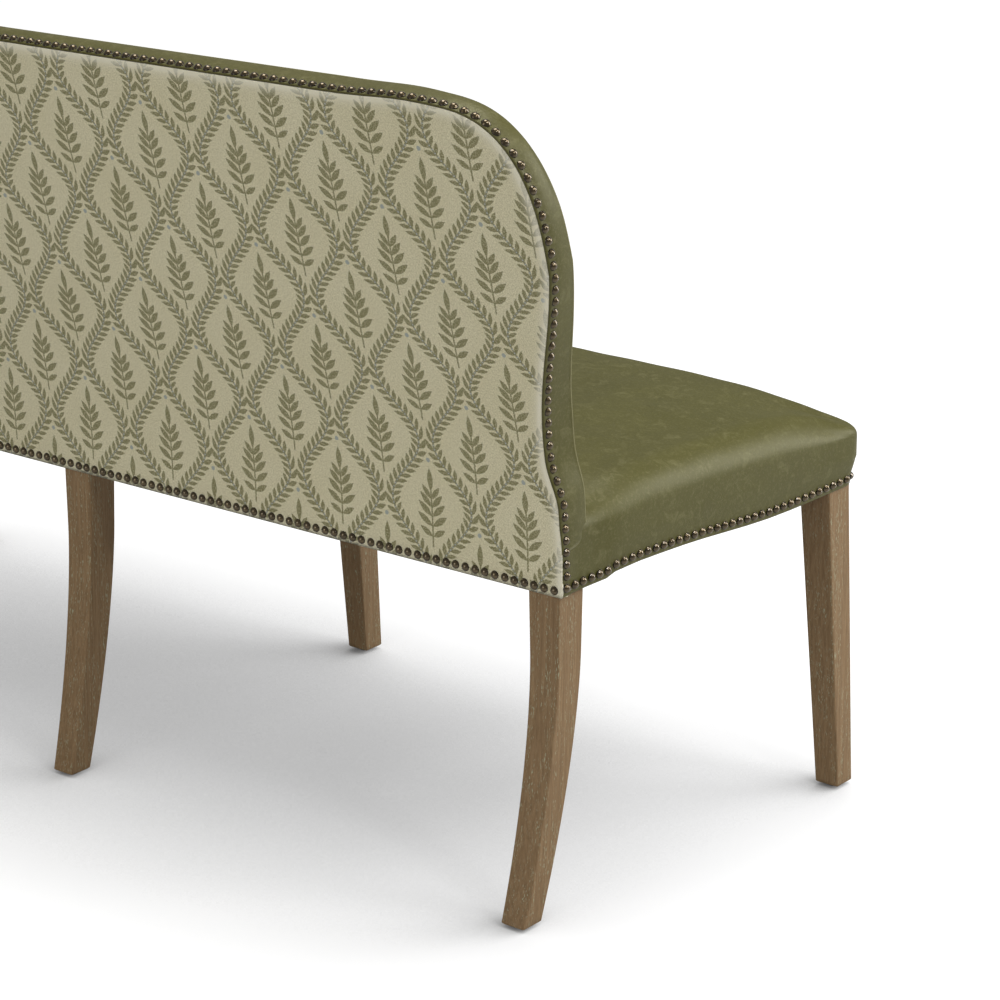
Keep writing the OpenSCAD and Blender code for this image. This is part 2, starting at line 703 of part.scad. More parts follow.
rear_row_half = seat_half_rear - nail_d;
module rear_rail_nails()
    color(bronze)
        let (count = round(2 * rear_row_half / nail_pitch))
            for (k = [0:count])
                nail([-rear_row_half + 2 * rear_row_half * k / count, rear_y + soft_gap,
                      leg_h + nail_up],
                     [0, 1, 0]);

module seat_edge_nails()
    color(bronze)
        let (right = plan_right(0, rear_y - nail_set - nail_pitch),
             n = len(right),
             path = concat([for (i = [n - 1:-1:0]) right[i]], [for (p = right) [-p.x, p.y]]),
             sums = lengths(path), count = round(sums[len(sums) - 1] / nail_pitch))
            for (k = [0:count])
                let (d = sums[len(sums) - 1] * k / count, i = stretch(sums, d),
                     f = (d - sums[i]) / (sums[i + 1] - sums[i]),
                     t = unit(path[i + 1] - path[i]),
                     p = path[i] + f * (path[i + 1] - path[i]))
                nail([p.x - t.y * soft_gap, p.y + t.x * soft_gap, leg_h + nail_up], [-t.y, t.x, 0]);

rear_leg_left();
rear_leg_middle();
rear_leg_right();
front_leg_left();
front_leg_middle();
front_leg_right();
glides();
front_rail();
rear_rail_left();
rear_rail_right();
end_rail_left();
end_rail_right();
centre_rail();
corner_blocks();
block_screws();
cross_webbing();
long_webbing();
deck_cloth();
seat_foam();
seat_cover();
seat_border();
dust_cover();
dust_cover_staples();
back_top_rail();
back_lower_rail_left();
back_lower_rail_right();
back_ear_left();
back_ear_right();
back_webbing();
back_foam();
inside_back_cover();
back_band();
outside_back_panel();
back_edge_nails();
rear_rail_nails();
seat_edge_nails();
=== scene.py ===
"""Looks of an upholstered dining bench: leather seat and inside back, printed cloth outside back,
domed nails and limed oak legs. Metres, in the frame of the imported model."""

import math

import bpy
import numpy as np
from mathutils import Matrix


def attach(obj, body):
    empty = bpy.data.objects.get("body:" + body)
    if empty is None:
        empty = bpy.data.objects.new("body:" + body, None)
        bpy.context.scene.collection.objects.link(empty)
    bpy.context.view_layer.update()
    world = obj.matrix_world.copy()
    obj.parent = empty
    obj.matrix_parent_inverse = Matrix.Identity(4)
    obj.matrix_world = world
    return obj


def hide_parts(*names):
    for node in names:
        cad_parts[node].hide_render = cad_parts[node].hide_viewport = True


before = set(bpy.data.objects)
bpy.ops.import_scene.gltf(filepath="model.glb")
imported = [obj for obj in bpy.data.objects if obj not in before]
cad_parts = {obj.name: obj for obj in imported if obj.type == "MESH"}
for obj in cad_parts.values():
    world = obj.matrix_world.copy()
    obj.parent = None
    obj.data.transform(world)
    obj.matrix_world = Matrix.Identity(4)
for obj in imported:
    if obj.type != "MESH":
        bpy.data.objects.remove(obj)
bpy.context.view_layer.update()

# ---------------------------------------------------------------- sizes shared with the solids
LEG_H = 0.395
DECK_Z = 0.455
TOP_Z = 0.951
RAKE = math.radians(14.5)
BEND_R, BEND_Z = 0.800, 0.405
BEND_END = BEND_Z + BEND_R * math.sin(RAKE)
HALF_REAR, FLARE, STRAIGHT = 0.761, 0.036, 0.024
SEAT_D = 0.545
CORNER_R = 0.018
EASE_Z, WAIST_Z, WIDE_Z = 0.495, 0.556, 0.825
WAIST_HALF, WIDE_OUT = 0.749, 0.051
CORNER_W, CORNER_H, CORNER_POWER = 0.124, 0.172, 2.64
SEAM_LOW, SEAM_TOP = 0.050, 0.039
HUMP, HUMP_X, HUMP_W = 0.0038, 0.632, 0.058
NAIL_D, NAIL_H, PITCH, NAIL_SET = 0.0105, 0.0042, 0.014, 0.0085
FIRST_NAIL, SEAT_ROW_UP = 0.0085, 0.010
LEG_W, LEG_D, TAPER_W, TAPER_D = 0.043, 0.045, 0.010, 0.012
LEG_SETBACK, LEG_SPLAY = 0.006, 0.022
MIRROR = np.array([-1, 1, 1])


def lean(z):
    """How far the rear face leans back at a height: nothing, then an arc, then a straight slope."""
    z = np.asarray(z, float)
    bent = np.clip(z - BEND_Z, 0, BEND_END - BEND_Z)
    arc = BEND_R - np.sqrt(np.maximum(BEND_R**2 - bent**2, 0))
    return arc + np.maximum(z - BEND_END, 0) * math.tan(RAKE)


REAR_Y = (SEAT_D - LEG_SETBACK + LEG_SPLAY - float(lean(TOP_Z))) / 2
FRONT_Y = REAR_Y - SEAT_D


def ease(t):
    """Half a cosine wave from 0 to 1."""
    return (1 - np.cos(np.pi * np.clip(t, 0, 1))) / 2


def smooth(t):
    """Three t squared less two t cubed, from 0 to 1."""
    t = np.clip(t, 0, 1)
    return t * t * (3 - 2 * t)


def bell(distance, width):
    """A bell curve: 1 at no distance, falling away over the width."""
    return np.exp(-((distance / width) ** 2))


def run_length(a, b):
    """Length along a line of points, from 0 at its first point."""
    return np.concatenate([[0], np.cumsum(np.hypot(np.diff(a), np.diff(b)))])


def both_sides(half, axis=1):
    """The right half, then its mirror image in x; the line at the middle stays single."""
    return np.concatenate([half, np.delete(np.flip(half, axis), 0, axis) * MIRROR], axis)


def from_ends(count):
    """For each of a row's columns, how many lie between it and the nearer end."""
    return np.minimum(np.arange(count), np.arange(count)[::-1])


def unit(vectors):
    """Vectors in rows, each made one long."""
    return vectors / np.linalg.norm(vectors, axis=1)[:, None]


def nail_dents(along, from_puckers, from_groove):
    """Puckers between the nails, a cosine along the row, less the groove that the row presses in.
    Each is a bell curve across the row."""
    puckers = 0.00035 * np.cos(2 * np.pi * along / PITCH) * bell(from_puckers, 0.007)
    return puckers - 0.0006 * bell(from_groove, 0.006)


def side_half(z):
    """Half width of the back: the seat's, eased in to the waist, then out to the widest level."""
    z = np.asarray(z, float)
    low = HALF_REAR - (HALF_REAR - WAIST_HALF) * ease((z - EASE_Z) / (WAIST_Z - EASE_Z))
    high = WAIST_HALF + WIDE_OUT * ease((z - WAIST_Z) / (WIDE_Z - WAIST_Z))
    return np.where(z < WAIST_Z, low, high)


def back_point(x, z, t):
    """A point of the back: x along it, z up its rear face, t forward, square to the rake."""
    x, z, t = np.broadcast_arrays(np.asarray(x, float), z, t)
    return np.stack([x, REAR_Y + lean(z) - t * math.cos(RAKE), z + t * math.sin(RAKE)], -1)


def seam_t(z):
    """Thickness of the side band, thinner towards the top."""
    return SEAM_LOW + (SEAM_TOP - SEAM_LOW) * (np.asarray(z, float) - DECK_Z) / (TOP_Z - DECK_Z)


# How far the band's front edge is drawn in, in millimetres. A place below 0 is tenths of a metre
# under the corner, 0 to 1 is the corner, and above 1 is tenths of a metre along the top.
PULL_AT = [-3.3, -2.9, -2.6, -2.3, -1.9, -1.2, -0.8, -0.4, 0, 0.15, 0.3, 0.45,
           0.6, 0.75, 0.9, 1.0, 1.3, 1.6, 2.0, 2.5, 3.5, 5.0, 8.0]
PULL_MM = [2.6, 2.2, 0.4, -3.6, -5.2, -3.2, -1.8, 0.3, 2, 2.6, 5.4, 7.7,
           8.9, 8.3, 6.8, 5.5, 4.2, 3.2, 2, 1, 1.7, 2.5, 4]
PULL_STEP, PULL_WINDOW = 0.1, 0.014


class Outline:
    """The back's edge from a base height up one side, round the corner and along the top to the
    middle. The corner is a quarter of a superellipse, and the top swells by a bell curve beside
    it. Rows are of about equal length, and the side's last row and the corner's last row lie
    exactly on the joins. pull is how far the front edge is drawn in at each row: the table
    above, smoothed by a short cosine window."""

    def __init__(self, base, step):
        corner_z = TOP_Z - CORNER_H
        self.centre = float(side_half(corner_z)) - CORNER_W
        side = np.linspace(base, corner_z, int((corner_z - base) / step) + 1)
        fine = np.linspace(0, np.pi / 2, 900)
        length = run_length(*self._corner(fine, 0.0))
        turn = np.interp(np.linspace(0, length[-1], int(length[-1] / step) + 1)[1:], length, fine)
        top = np.linspace(1, 0, int(self.centre / step) + 1)[1:]
        self.zone = np.repeat([0, 1, 2], [len(side), len(turn), len(top)])
        self.value = np.concatenate([side, turn, top])
        self.top_rows = len(top)
        self.length = run_length(*self.at(0.0))
        place = np.concatenate([(side - corner_z) / PULL_STEP, turn / (np.pi / 2),
                                1 + self.centre * (1 - top) / PULL_STEP])
        pull = np.interp(place, PULL_AT, PULL_MM) / 1000
        reach = max(1, int(PULL_WINDOW / step))
        window = np.hanning(2 * reach + 3)[1:-1]
        padded = np.concatenate([np.full(reach, pull[0]), pull, np.full(reach, pull[-1])])
        self.pull = np.convolve(padded, window / window.sum(), "valid")

    def _corner(self, turn, inset):
        """x and height round the corner: cosine and sine to the power two over the corner's."""
        c = np.maximum(np.cos(turn), 0) ** (2 / CORNER_POWER)
        s = np.maximum(np.sin(turn), 0) ** (2 / CORNER_POWER)
        return self.centre + (CORNER_W - inset) * c, TOP_Z - CORNER_H + (CORNER_H - inset) * s

    def at(self, inset):
        """x and height of every row, moved inwards by the inset."""
        side, corner = self.zone == 0, self.zone == 1
        x, z = self._corner(self.value, inset)
        straight = side_half(self.value) - inset
        x = np.select([side, corner], [straight, x], self.centre * self.value)
        z = np.select([side, corner], [self.value, z], TOP_Z - inset)
        return x, z + HUMP * bell(x - HUMP_X, HUMP_W)


def fill_middle(line, columns):
    """Carry the last column of each row to the middle, at the places of the top's rows. The upper
    rows follow the top edge's own height."""
    last = columns[-1]
    top = np.nonzero(line.zone == 2)[0]
    join = top[0] - 1
    fade_height = 0.10
    fade = np.exp(np.minimum(last[:, 2:] - last[join, 2], 0) / fade_height)
    for row in top:
        p = last.copy()
        p[:, 0] = last[:, 0] * line.value[row]
        columns.append(p + (last[row] - p[join]) * fade)


def middle_kept(line, rows, columns):
    """Which quads are kept: none between the rows of the top in the middle, where they would lie
    on a line."""
    keep = np.ones((rows - 1, 2 * columns - 2), bool)
    first = columns - 1 - line.top_rows
    keep[rows - 1 - line.top_rows:, first:2 * columns - 2 - first] = False
    return keep


# ---------------------------------------------------------------- meshes
def mesh_piece(name, points, faces, finish, uv=None, edge=None, weld=0.0):
    """A mesh object at the origin from numpy points and quads, smooth, with one material."""
    mesh = bpy.data.meshes.new(name)
    points = np.asarray(points, np.float32).reshape(-1, 3)
    mesh.vertices.add(len(points))
    mesh.vertices.foreach_set("co", points.ravel())
    faces = np.asarray(faces, np.int32)
    mesh.loops.add(faces.size)
    mesh.loops.foreach_set("vertex_index", faces.ravel())
    mesh.polygons.add(len(faces))
    first = np.arange(len(faces), dtype=np.int32) * faces.shape[1]
    mesh.polygons.foreach_set("loop_start", first)
    mesh.polygons.foreach_set("use_smooth", np.ones(len(faces), bool))
    if uv is not None:
        layer = mesh.uv_layers.new(name="flat")
        layer.data.foreach_set("uv", np.asarray(uv, np.float32)[faces.ravel()].ravel())
    if edge is not None:
        layer = mesh.attributes.new("edge", "FLOAT", "POINT")
        layer.data.foreach_set("value", np.asarray(edge, np.float32).ravel())
    mesh.update(calc_edges=True)
    mesh.validate()
    piece = bpy.data.objects.new(name, mesh)
    bpy.context.scene.collection.objects.link(piece)
    if weld:
        join = piece.modifiers.new("weld", "WELD")
        join.merge_threshold = weld
    mesh.materials.append(finish)
    return piece


def grid_faces(rows, columns, keep=None, flip=False, closed=False):
    """Quads between neighbouring rows and columns; closed joins the last column to the first."""
    across = columns if closed else columns - 1
    i, j = np.meshgrid(np.arange(rows - 1), np.arange(across), indexing="ij")
    k = (j + 1) % columns
    near, far = i * columns, (i + 1) * columns
    quads = np.stack([near + j, near + k, far + k, far + j], -1)
    quads = quads.reshape(-1, 4) if keep is None else quads[keep]
    return quads[:, ::-1] if flip else quads


def wear(x, y, z, seed):
    """A soft uneven height from a few crossing waves, between about -1 and 1."""
    rng = np.random.default_rng(seed)
    waves, share = 7, 4.5
    total = np.zeros(np.broadcast(x, y, z).shape)
    for _ in range(waves):
        d = rng.normal(size=3)
        d /= np.linalg.norm(d)
        size, shift = rng.uniform(0.05, 0.16), rng.uniform(0, 6.3)
        total = total + np.sin(2 * np.pi * (x * d[0] + y * d[1] + z * d[2]) / size + shift)
    return total / share


# ---------------------------------------------------------------- materials
def colour(r, g, b):
    """Screen values from 0 to 255 as the linear colour a shader takes."""
    v = np.array([r, g, b], float) / 255
    v = np.where(v <= 0.04045, v / 12.92, ((v + 0.055) / 1.055) ** 2.4)
    return (float(v[0]), float(v[1]), float(v[2]), 1.0)


class Value:
    """A number in a node tree, so that formulas can be written with plain signs."""

    def __init__(self, tree, socket):
        self.tree, self.socket = tree, socket

    def _math(self, kind, *others):
        """A new math node of a kind, fed with this number and the others."""
        node = self.tree.nodes.new("ShaderNodeMath")
        node.operation = kind
        for slot, v in zip(node.inputs, (self,) + others):
            if isinstance(v, Value):
                self.tree.links.new(v.socket, slot)
            else:
                slot.default_value = float(v)
        return Value(self.tree, node.outputs[0])

    def __add__(self, o): return self._math("ADD", o)
    def __radd__(self, o): return self._math("ADD", o)
    def __sub__(self, o): return self._math("SUBTRACT", o)
    def __rsub__(self, o): return (self * -1.0) + o
    def __mul__(self, o): return self._math("MULTIPLY", o)
    def __truediv__(self, o): return self._math("DIVIDE", o)
    def sin(self): return self._math("SINE")
    def cos(self): return self._math("COSINE")
    def floor(self): return self._math("FLOOR")
    def fract(self): return self._math("FRACT")
    def abs(self): return self._math("ABSOLUTE")
    def sqrt(self): return self._math("SQRT")
    def at_least(self, o): return self._math("MAXIMUM", o)
    def power(self, o): return self._math("POWER", o)
    def above(self, low, high):
        """0 below low, 1 above high, straight between."""
        node = self.tree.nodes.new("ShaderNodeMapRange")
        node.clamp = True
        self.tree.links.new(self.socket, node.inputs[0])
        for slot, v in zip(node.inputs[1:5], (low, high, 0.0, 1.0)):
            slot.default_value = v
        return Value(self.tree, node.outputs[0])


class Finish:
    """A material with a Principled shader and a few helpers for its procedural pattern."""

    def __init__(self, name, roughness=0.5, specular=0.5, metallic=0.0, **constants):
        self.material = bpy.data.materials.new(name)
        self.material.use_nodes = True
        self.tree = self.material.node_tree
        self.shader = self.tree.nodes["Principled BSDF"]
        self.shader.inputs["Roughness"].default_value = roughness
        self.shader.inputs["Specular IOR Level"].default_value = specular
        self.shader.inputs["Metallic"].default_value = metallic
        for key, v in constants.items():
            self.shader.inputs[key.replace("_", " ")].default_value = v
        self.coordinates = self.tree.nodes.new("ShaderNodeTexCoord")
        self.height = None

    def link(self, a, b):
        self.tree.links.new(a, b)

    def node(self, kind, vector=None, **constants):
        """A new node with its constants set, and a vector linked in if given."""
        node = self.tree.nodes.new("ShaderNode" + kind)
        for key, v in constants.items():
            node.inputs[key].default_value = v
        if vector is not None:
            self.link(vector, node.inputs["Vector"])
        return node

    def place(self, scale=(1, 1, 1), turn=(0, 0, 0), shift=(0, 0, 0), source="Object"):
        """Where the pattern is read: coordinates scaled, turned and shifted."""
        node = self.node("Mapping", self.coordinates.outputs[source], Scale=scale, Rotation=turn,
                         Location=shift)
        return node.outputs["Vector"]

    def split(self, vector):
        """The three numbers of a vector."""
        return [Value(self.tree, s) for s in self.node("SeparateXYZ", vector).outputs]

    def join(self, *values):
        """A vector of three numbers."""
        node = self.node("CombineXYZ")
        for slot, v in zip(node.inputs, values):
            if isinstance(v, Value):
                self.link(v.socket, slot)
            else:
                slot.default_value = v
        return node.outputs[0]

    def noise(self, vector, scale=1.0, detail=3.0, rough=0.55, bend=0.0):
        """Cloudy noise from 0 to 1, so many clouds to a metre."""
        node = self.node("TexNoise", vector, Scale=scale, Detail=detail, Roughness=rough,
                         Distortion=bend)
        return Value(self.tree, node.outputs["Fac"])

    def cells(self, vector, scale):
        """Distance from the middles of scattered cells."""
        node = self.node("TexVoronoi", vector, Scale=scale)
        return Value(self.tree, node.outputs["Distance"])

    def attribute(self, name):
        """A number stored on the mesh's points."""
        node = self.node("Attribute")
        node.attribute_name = name
        return Value(self.tree, node.outputs["Fac"])

    def mix(self, share, a, b):
        """Colour a where share is 0, b where it is 1."""
        node = self.tree.nodes.new("ShaderNodeMix")
        node.data_type = "RGBA"
        self.link(share.socket, node.inputs[0])
        for slot, v in ((node.inputs[6], a), (node.inputs[7], b)):
            if isinstance(v, tuple):
                slot.default_value = v
            else:
                self.link(v, slot)
        return node.outputs[2]

    def paint(self, source):
        self.link(source, self.shader.inputs["Base Color"])

    def rough(self, value):
        self.link(value.socket, self.shader.inputs["Roughness"])

    def bump(self, value, depth, strength=1.0):
        """Relief from a number, on top of the relief given before."""
        node = self.node("Bump", Strength=strength, Distance=depth)
        self.link(value.socket, node.inputs["Height"])
        if self.height is not None:
            self.link(self.height, node.inputs["Normal"])
        self.height = node.outputs["Normal"]
        self.link(self.height, self.shader.inputs["Normal"])


def leather_finish():
    """Olive leather: cloudy colour, fine scuffs, pebble grain, paler folded edges that are partly
    wear and partly a painted highlight, and painted shade where the edges tuck under the cloth and
    turn under the seat.
    """
    f = Finish("olive_leather", roughness=0.46, specular=0.50, Coat_Weight=0.03,
               Coat_Roughness=0.40)
    f.shader.inputs["Specular Tint"].default_value = (1.0, 0.96, 0.66, 1)
    olive, pale_olive = colour(74, 71, 26), colour(82, 79, 33)
    rubbed, dull = colour(140, 135, 96), colour(82, 79, 42)
    pale_speck, dark_speck = colour(136, 131, 94), colour(80, 77, 42)
    scuffed, fold_wear_and_highlight, tuck_shade = colour(158, 154, 122), colour(166, 160, 122), colour(44, 40, 24)
    at = f.place()
    cloud = f.noise(at, 7.0, 4.0, 0.6, 0.4)
    patch = f.noise(at, 55.0, 6.0, 0.72, 0.9)
    speck = f.noise(at, 330.0, 4.0, 0.7)
    scuff = f.noise(f.place((1, 2.4, 1), (0.3, 0.5, 0.9)), 95.0, 6.0, 0.72, 1.5)
    edge = f.attribute("edge")
    shade = f.mix(cloud.above(0.32, 0.70), olive, pale_olive)
    for share, other in (
        (patch.above(0.52, 0.80) * 0.45, rubbed), (patch.above(0.50, 0.28) * 0.55, dull),
        (speck.above(0.50, 0.75) * 0.30, pale_speck), (speck.above(0.50, 0.28) * 0.35, dark_speck),
        # the paler fold colour is partly wear and partly a painted highlight
        (scuff.above(0.64, 0.74) * 0.30, scuffed), (edge.at_least(0.0) * 0.62, fold_wear_and_highlight),
        # painted shade: a near-black olive where the edge value is below 0, on the tucked and
        # turned-under edges
        ((edge * -1.0).at_least(0.0) * 0.75, tuck_shade),
    ):
        shade = f.mix(share, shade, other)
    f.paint(shade)
    f.rough(0.41 + cloud * 0.07 + patch * 0.08)
    pebble = f.cells(f.place(), 820.0)
    crease = f.noise(f.place((1, 1, 1), (0.2, 0.4, 0.1)), 230.0, 4.0, 0.6)
    f.bump(pebble + crease * 0.8, 0.00018, 0.55)
    f.bump(f.noise(at, 26.0, 3.0, 0.5), 0.0010, 0.30)
    return f.material


def cloth_finish():
    """Printed twill. A half-drop trellis of leafy stems: each stem is a cosine wave, leaves stand
    in pairs along it, a beaded line runs down its middle, and a small sprig fills each cell. The
    cloth's own place is shifted a little by noise, so that no printed edge is quite clean."""
    f = Finish("printed_cloth", roughness=0.88, specular=0.2, Sheen_Weight=0.15,
               Sheen_Roughness=0.6)
    stone, pale_stone, weft = colour(238, 230, 196), colour(246, 239, 208), colour(194, 185, 146)
    olive_ink, worn_ink = colour(108, 104, 60), colour(152, 146, 103)
    stem_ink, bead_grey = colour(128, 127, 98), colour(186, 190, 186)
    berry_grey, worn_edge = colour(158, 166, 162), colour(250, 245, 226)
    blur, twill_pitch, cross_pitch = 0.0020, 0.0021, 0.0017
    u, v, _ = f.split(f.place(source="UV"))
    wobble = f.noise(f.join(u, v, 0.0), 520.0, 2.0)
    u = u + (wobble - 0.5) * blur
    v = v + (f.noise(f.join(v, u, 3.0), 480.0, 2.0) - 0.5) * blur
    width, tall, swing = 0.068, 0.156, 0.0235
    turn = v * (2 * math.pi / tall)
    cell = (u / width + 0.5).floor()
    sign = 1.0 - (cell * 0.5).fract() * 4.0
    local = (u - cell * width) * sign
    side = local - turn.cos() * swing
    steepest = swing * 2 * math.pi / tall
    slope = turn.sin() * -steepest
    steep = slope * slope + 1.0
    along = v + side * slope / steep
    # the length along the wave grows with the square of its slope, summed up the cloth
    gain = 0.21 * steepest**2
    along = along * (1 + gain) - (turn * 2.0).sin() * (gain * tall / (4 * math.pi))
    away = side.abs() / steep.sqrt()

    def leaf(p, q, length, half, angle):
        """1 inside a pointed leaf that starts at the origin and leans by angle from the p axis."""
        c, s = math.cos(angle), math.sin(angle)
        a = p * c + q * s
        b = (q * c - p * s).abs()
        belly = (a * (math.pi / length)).sin().at_least(0.0) * half
        inside = (belly - b).above(-0.0003, 0.0003)
        share = a / length
        return inside * share.above(0.0, 0.02) * share.above(1.0, 0.98)

    pairs, pair_leaf = 18, (0.0172, 0.0028, 0.74)
    step = tall * (1 + gain) / pairs
    beat = (along / step).fract() * step
    paired = leaf(beat, away, *pair_leaf).at_least(leaf(beat + step, away, *pair_leaf))
    stem = away.above(0.0017, 0.0010)
    out = 0.5 * width - local.abs()
    rise = ((v / tall + local.above(0.0005, -0.0005) * 0.5).fract() - 0.5) * tall
    sprig = leaf(rise - 0.016, out, 0.030, 0.0040, 0.0)
    for foot, length, half, angle in (
        (-0.038, 0.021, 0.0036, 1.05), (-0.026, 0.026, 0.0040, 0.95),
        (-0.014, 0.026, 0.0040, 0.84), (-0.003, 0.024, 0.0038, 0.74),
        (0.007, 0.021, 0.0034, 0.64),
    ):
        sprig = sprig.at_least(leaf(rise - foot, out, length, half, angle))
    stalk = out.above(0.0014, 0.0008) * rise.above(-0.052, -0.050) * rise.above(0.020, 0.019)
    sprig = sprig.at_least(stalk)
    berry = ((rise - 0.0555) * (rise - 0.0555) + out * out).sqrt().above(0.0030, 0.0024)
    green = paired.at_least(sprig)
    bead = ((beat * (2.0 / step)).fract() - 0.5).abs() * step
    beads = (bead * bead * 0.5 + away * away).sqrt().above(0.00135, 0.0009)

    fine = f.noise(f.join(u, v, 7.0), 560.0, 4.0, 0.75)
    twill = ((u + v * 0.62) * (2 * math.pi / twill_pitch)).sin()
    cross = ((u * 0.4 - v) * (2 * math.pi / cross_pitch)).sin()
    weave = twill * 0.6 + cross * 0.4
    broad = f.noise(f.place(source="UV"), 9.0, 3.0)
    thread = weave * 0.5 + 0.5
    ground = f.mix(broad.above(0.3, 0.7), stone, pale_stone)
    ground = f.mix(thread * 0.36 + fine.above(0.40, 0.62) * 0.70, ground, weft)
    ink = f.mix(thread * 0.40 + fine.above(0.62, 0.40) * 0.60, olive_ink, worn_ink)
    shade = f.mix(green * fine.above(0.20, 0.50) * 0.96, ground, ink)
    bare = f.attribute("edge") * fine.above(0.25, 0.6)
    for share, other in ((stem * 0.85, stem_ink), (beads * 0.9, bead_grey),
                         (berry * 0.9, berry_grey), (bare * 0.9, worn_edge)):
        shade = f.mix(share, shade, other)
    f.paint(shade)
    f.bump(weave * 0.4 + fine * 1.4, 0.0006, 0.8)
    return f.material


def oak_finish():
    """Limed oak: rings that run through the wood, upright fibres and pale lime in the pores."""
    f = Finish("limed_oak", roughness=0.62, specular=0.3)
    brown, tan, late_wood = colour(130, 103, 71), colour(155, 127, 92), colour(92, 72, 50)
    dark_fibre, pale_lime, ring_w = colour(92, 72, 48), colour(172, 176, 146), 0.0034
    x, y, z = f.split(f.place())
    bend = f.noise(f.place((6, 6, 1.6)), 1.0, 2.0)
    ring = ((y * 0.86 + x * 0.46 + z * 0.02 + bend * 0.020) * (1 / ring_w)).fract()
    band = ring.power(1.6)
    fibre = f.noise(f.place((760, 760, 60)), 1.0, 5.0, 0.72)
    streak = f.noise(f.place((330, 330, 9)), 1.0, 4.0, 0.6)
    tone = f.mix(streak.above(0.3, 0.72), brown, tan)
    tone = f.mix(band * 0.16, tone, late_wood)
    tone = f.mix(fibre.above(0.50, 0.74) * 0.55, tone, dark_fibre)
    pore = f.noise(f.place((1000, 1000, 150), shift=(3, 7, 1)), 1.0, 2.0, 0.5)
    lime = f.noise(f.place((160, 160, 7)), 1.0, 2.0)
    filled = pore.above(0.585, 0.645) * lime.above(0.42, 0.62)
    tone = f.mix(filled * 0.85, tone, pale_lime)
    f.paint(tone)
    f.rough(0.56 + fibre * 0.14)
    f.bump(fibre + band * 0.4, 0.00035, 0.6)
    return f.material


def frame_wood_finish():
    """Plain sawn beech for the rails inside."""
    f = Finish("frame_beech", roughness=0.7, specular=0.25)
    fibre = f.noise(f.place((9, 400, 400)), 1.0, 4.0, 0.6)
    fleck = f.noise(f.place((60, 700, 700)), 1.0, 2.0)
    straw, tan, ray_fleck = colour(214, 184, 142), colour(190, 156, 112), colour(160, 122, 82)
    tone = f.mix(fibre.above(0.3, 0.7), straw, tan)
    f.paint(f.mix(fleck.above(0.6, 0.72) * 0.5, tone, ray_fleck))
    f.bump(fibre, 0.0003, 0.5)
    return f.material


def nail_finish():
    """Antique bronze, rubbed brighter in broad patches and tarnished in specks, with painted shade
    round the rim where the dome meets the surface.
    """
    f = Finish("antique_bronze", roughness=0.34, specular=0.5, metallic=1.0, Coat_Weight=1.0,
               Coat_Roughness=0.12)
    spot = f.noise(f.place(), 900.0, 4.0, 0.6)
    wide = f.noise(f.place(), 60.0, 2.0)
    bronze, rubbed = colour(84, 70, 44), colour(106, 90, 60)
    # the rim colour is painted shade, near black where the dome meets the surface
    tarnish, rim = colour(64, 52, 33), colour(30, 23, 15)
    tone = f.mix(wide.above(0.3, 0.7), bronze, rubbed)
    tone = f.mix(spot.above(0.45, 0.7) * 0.25, tone, tarnish)
    f.paint(f.mix(f.attribute("edge") * 0.9, tone, rim))
    f.rough(0.24 + spot * 0.08)
    return f.material


def woven_finish(name, base, other, size):
    """A plain weave: over and under threads in two colours, the product of two sine waves."""
    f = Finish(name, roughness=0.9, specular=0.15)
    x, y, _ = f.split(f.place())
    rate = 2 * math.pi / size
    over = (x * rate).sin() * (y * rate).sin()
    fuzz = f.noise(f.place(), 700.0, 3.0, 0.7)
    tone = f.mix((over * 0.5 + 0.5) * 0.7 + fuzz * 0.3, base, other)
    f.paint(tone)
    f.bump(over + fuzz * 0.5, 0.0004, 0.7)
    return f.material


def glide_finish():
    """Brown moulded glide, faintly mottled."""
    f = Finish("brown_glide", roughness=0.45, specular=0.4)
    mottle = f.noise(f.place(), 400.0, 3.0)
    f.paint(f.mix(mottle, colour(52, 40, 28), colour(70, 54, 38)))
    f.bump(mottle, 0.0002, 0.4)
    return f.material


def steel_finish():
    """Zinc-plated steel of screws and staples, faintly mottled."""
    f = Finish("zinc_steel", roughness=0.36, metallic=1.0)
    mottle = f.noise(f.place(), 500.0, 3.0)
    f.paint(f.mix(mottle, colour(170, 170, 168), colour(200, 200, 198)))
    f.rough(0.3 + mottle * 0.2)
    return f.material


LEATHER = leather_finish()
CLOTH = cloth_finish()
OAK = oak_finish()
BEECH = frame_wood_finish()
BRONZE = nail_finish()
WEBBING = woven_finish("jute_webbing", colour(168, 142, 104), colour(140, 114, 80), 0.004)
HESSIAN = woven_finish("deck_hessian", colour(178, 158, 122), colour(150, 128, 94), 0.003)
UNDER = woven_finish("black_lining", colour(30, 30, 31), colour(46, 46, 48), 0.0016)
GLIDE = glide_finish()
STEEL = steel_finish()

# ---------------------------------------------------------------- back
BASE_Z, SEAM_GAP = 0.451, 0.0012
# the inside back's rounded edge: its radius, how far it slants, then the run up to the crown
LIP, LIP_SLANT, LIP_RUN = 0.016, 0.85, 0.08
LIP_W = LIP * (1 + LIP_SLANT)
CROWN = 0.020
BAND_W = 0.045
NAIL_ROW_Z = LEG_H + 0.009
WELD = 0.000002


def lip_out(a):
    """How far in from the seam the inside back's rounded edge lies at an angle of its arc: a
    quarter circle, slanted by a share of the sine."""
    return LIP * (1 - np.cos(a) + LIP_SLANT * np.sin(a))


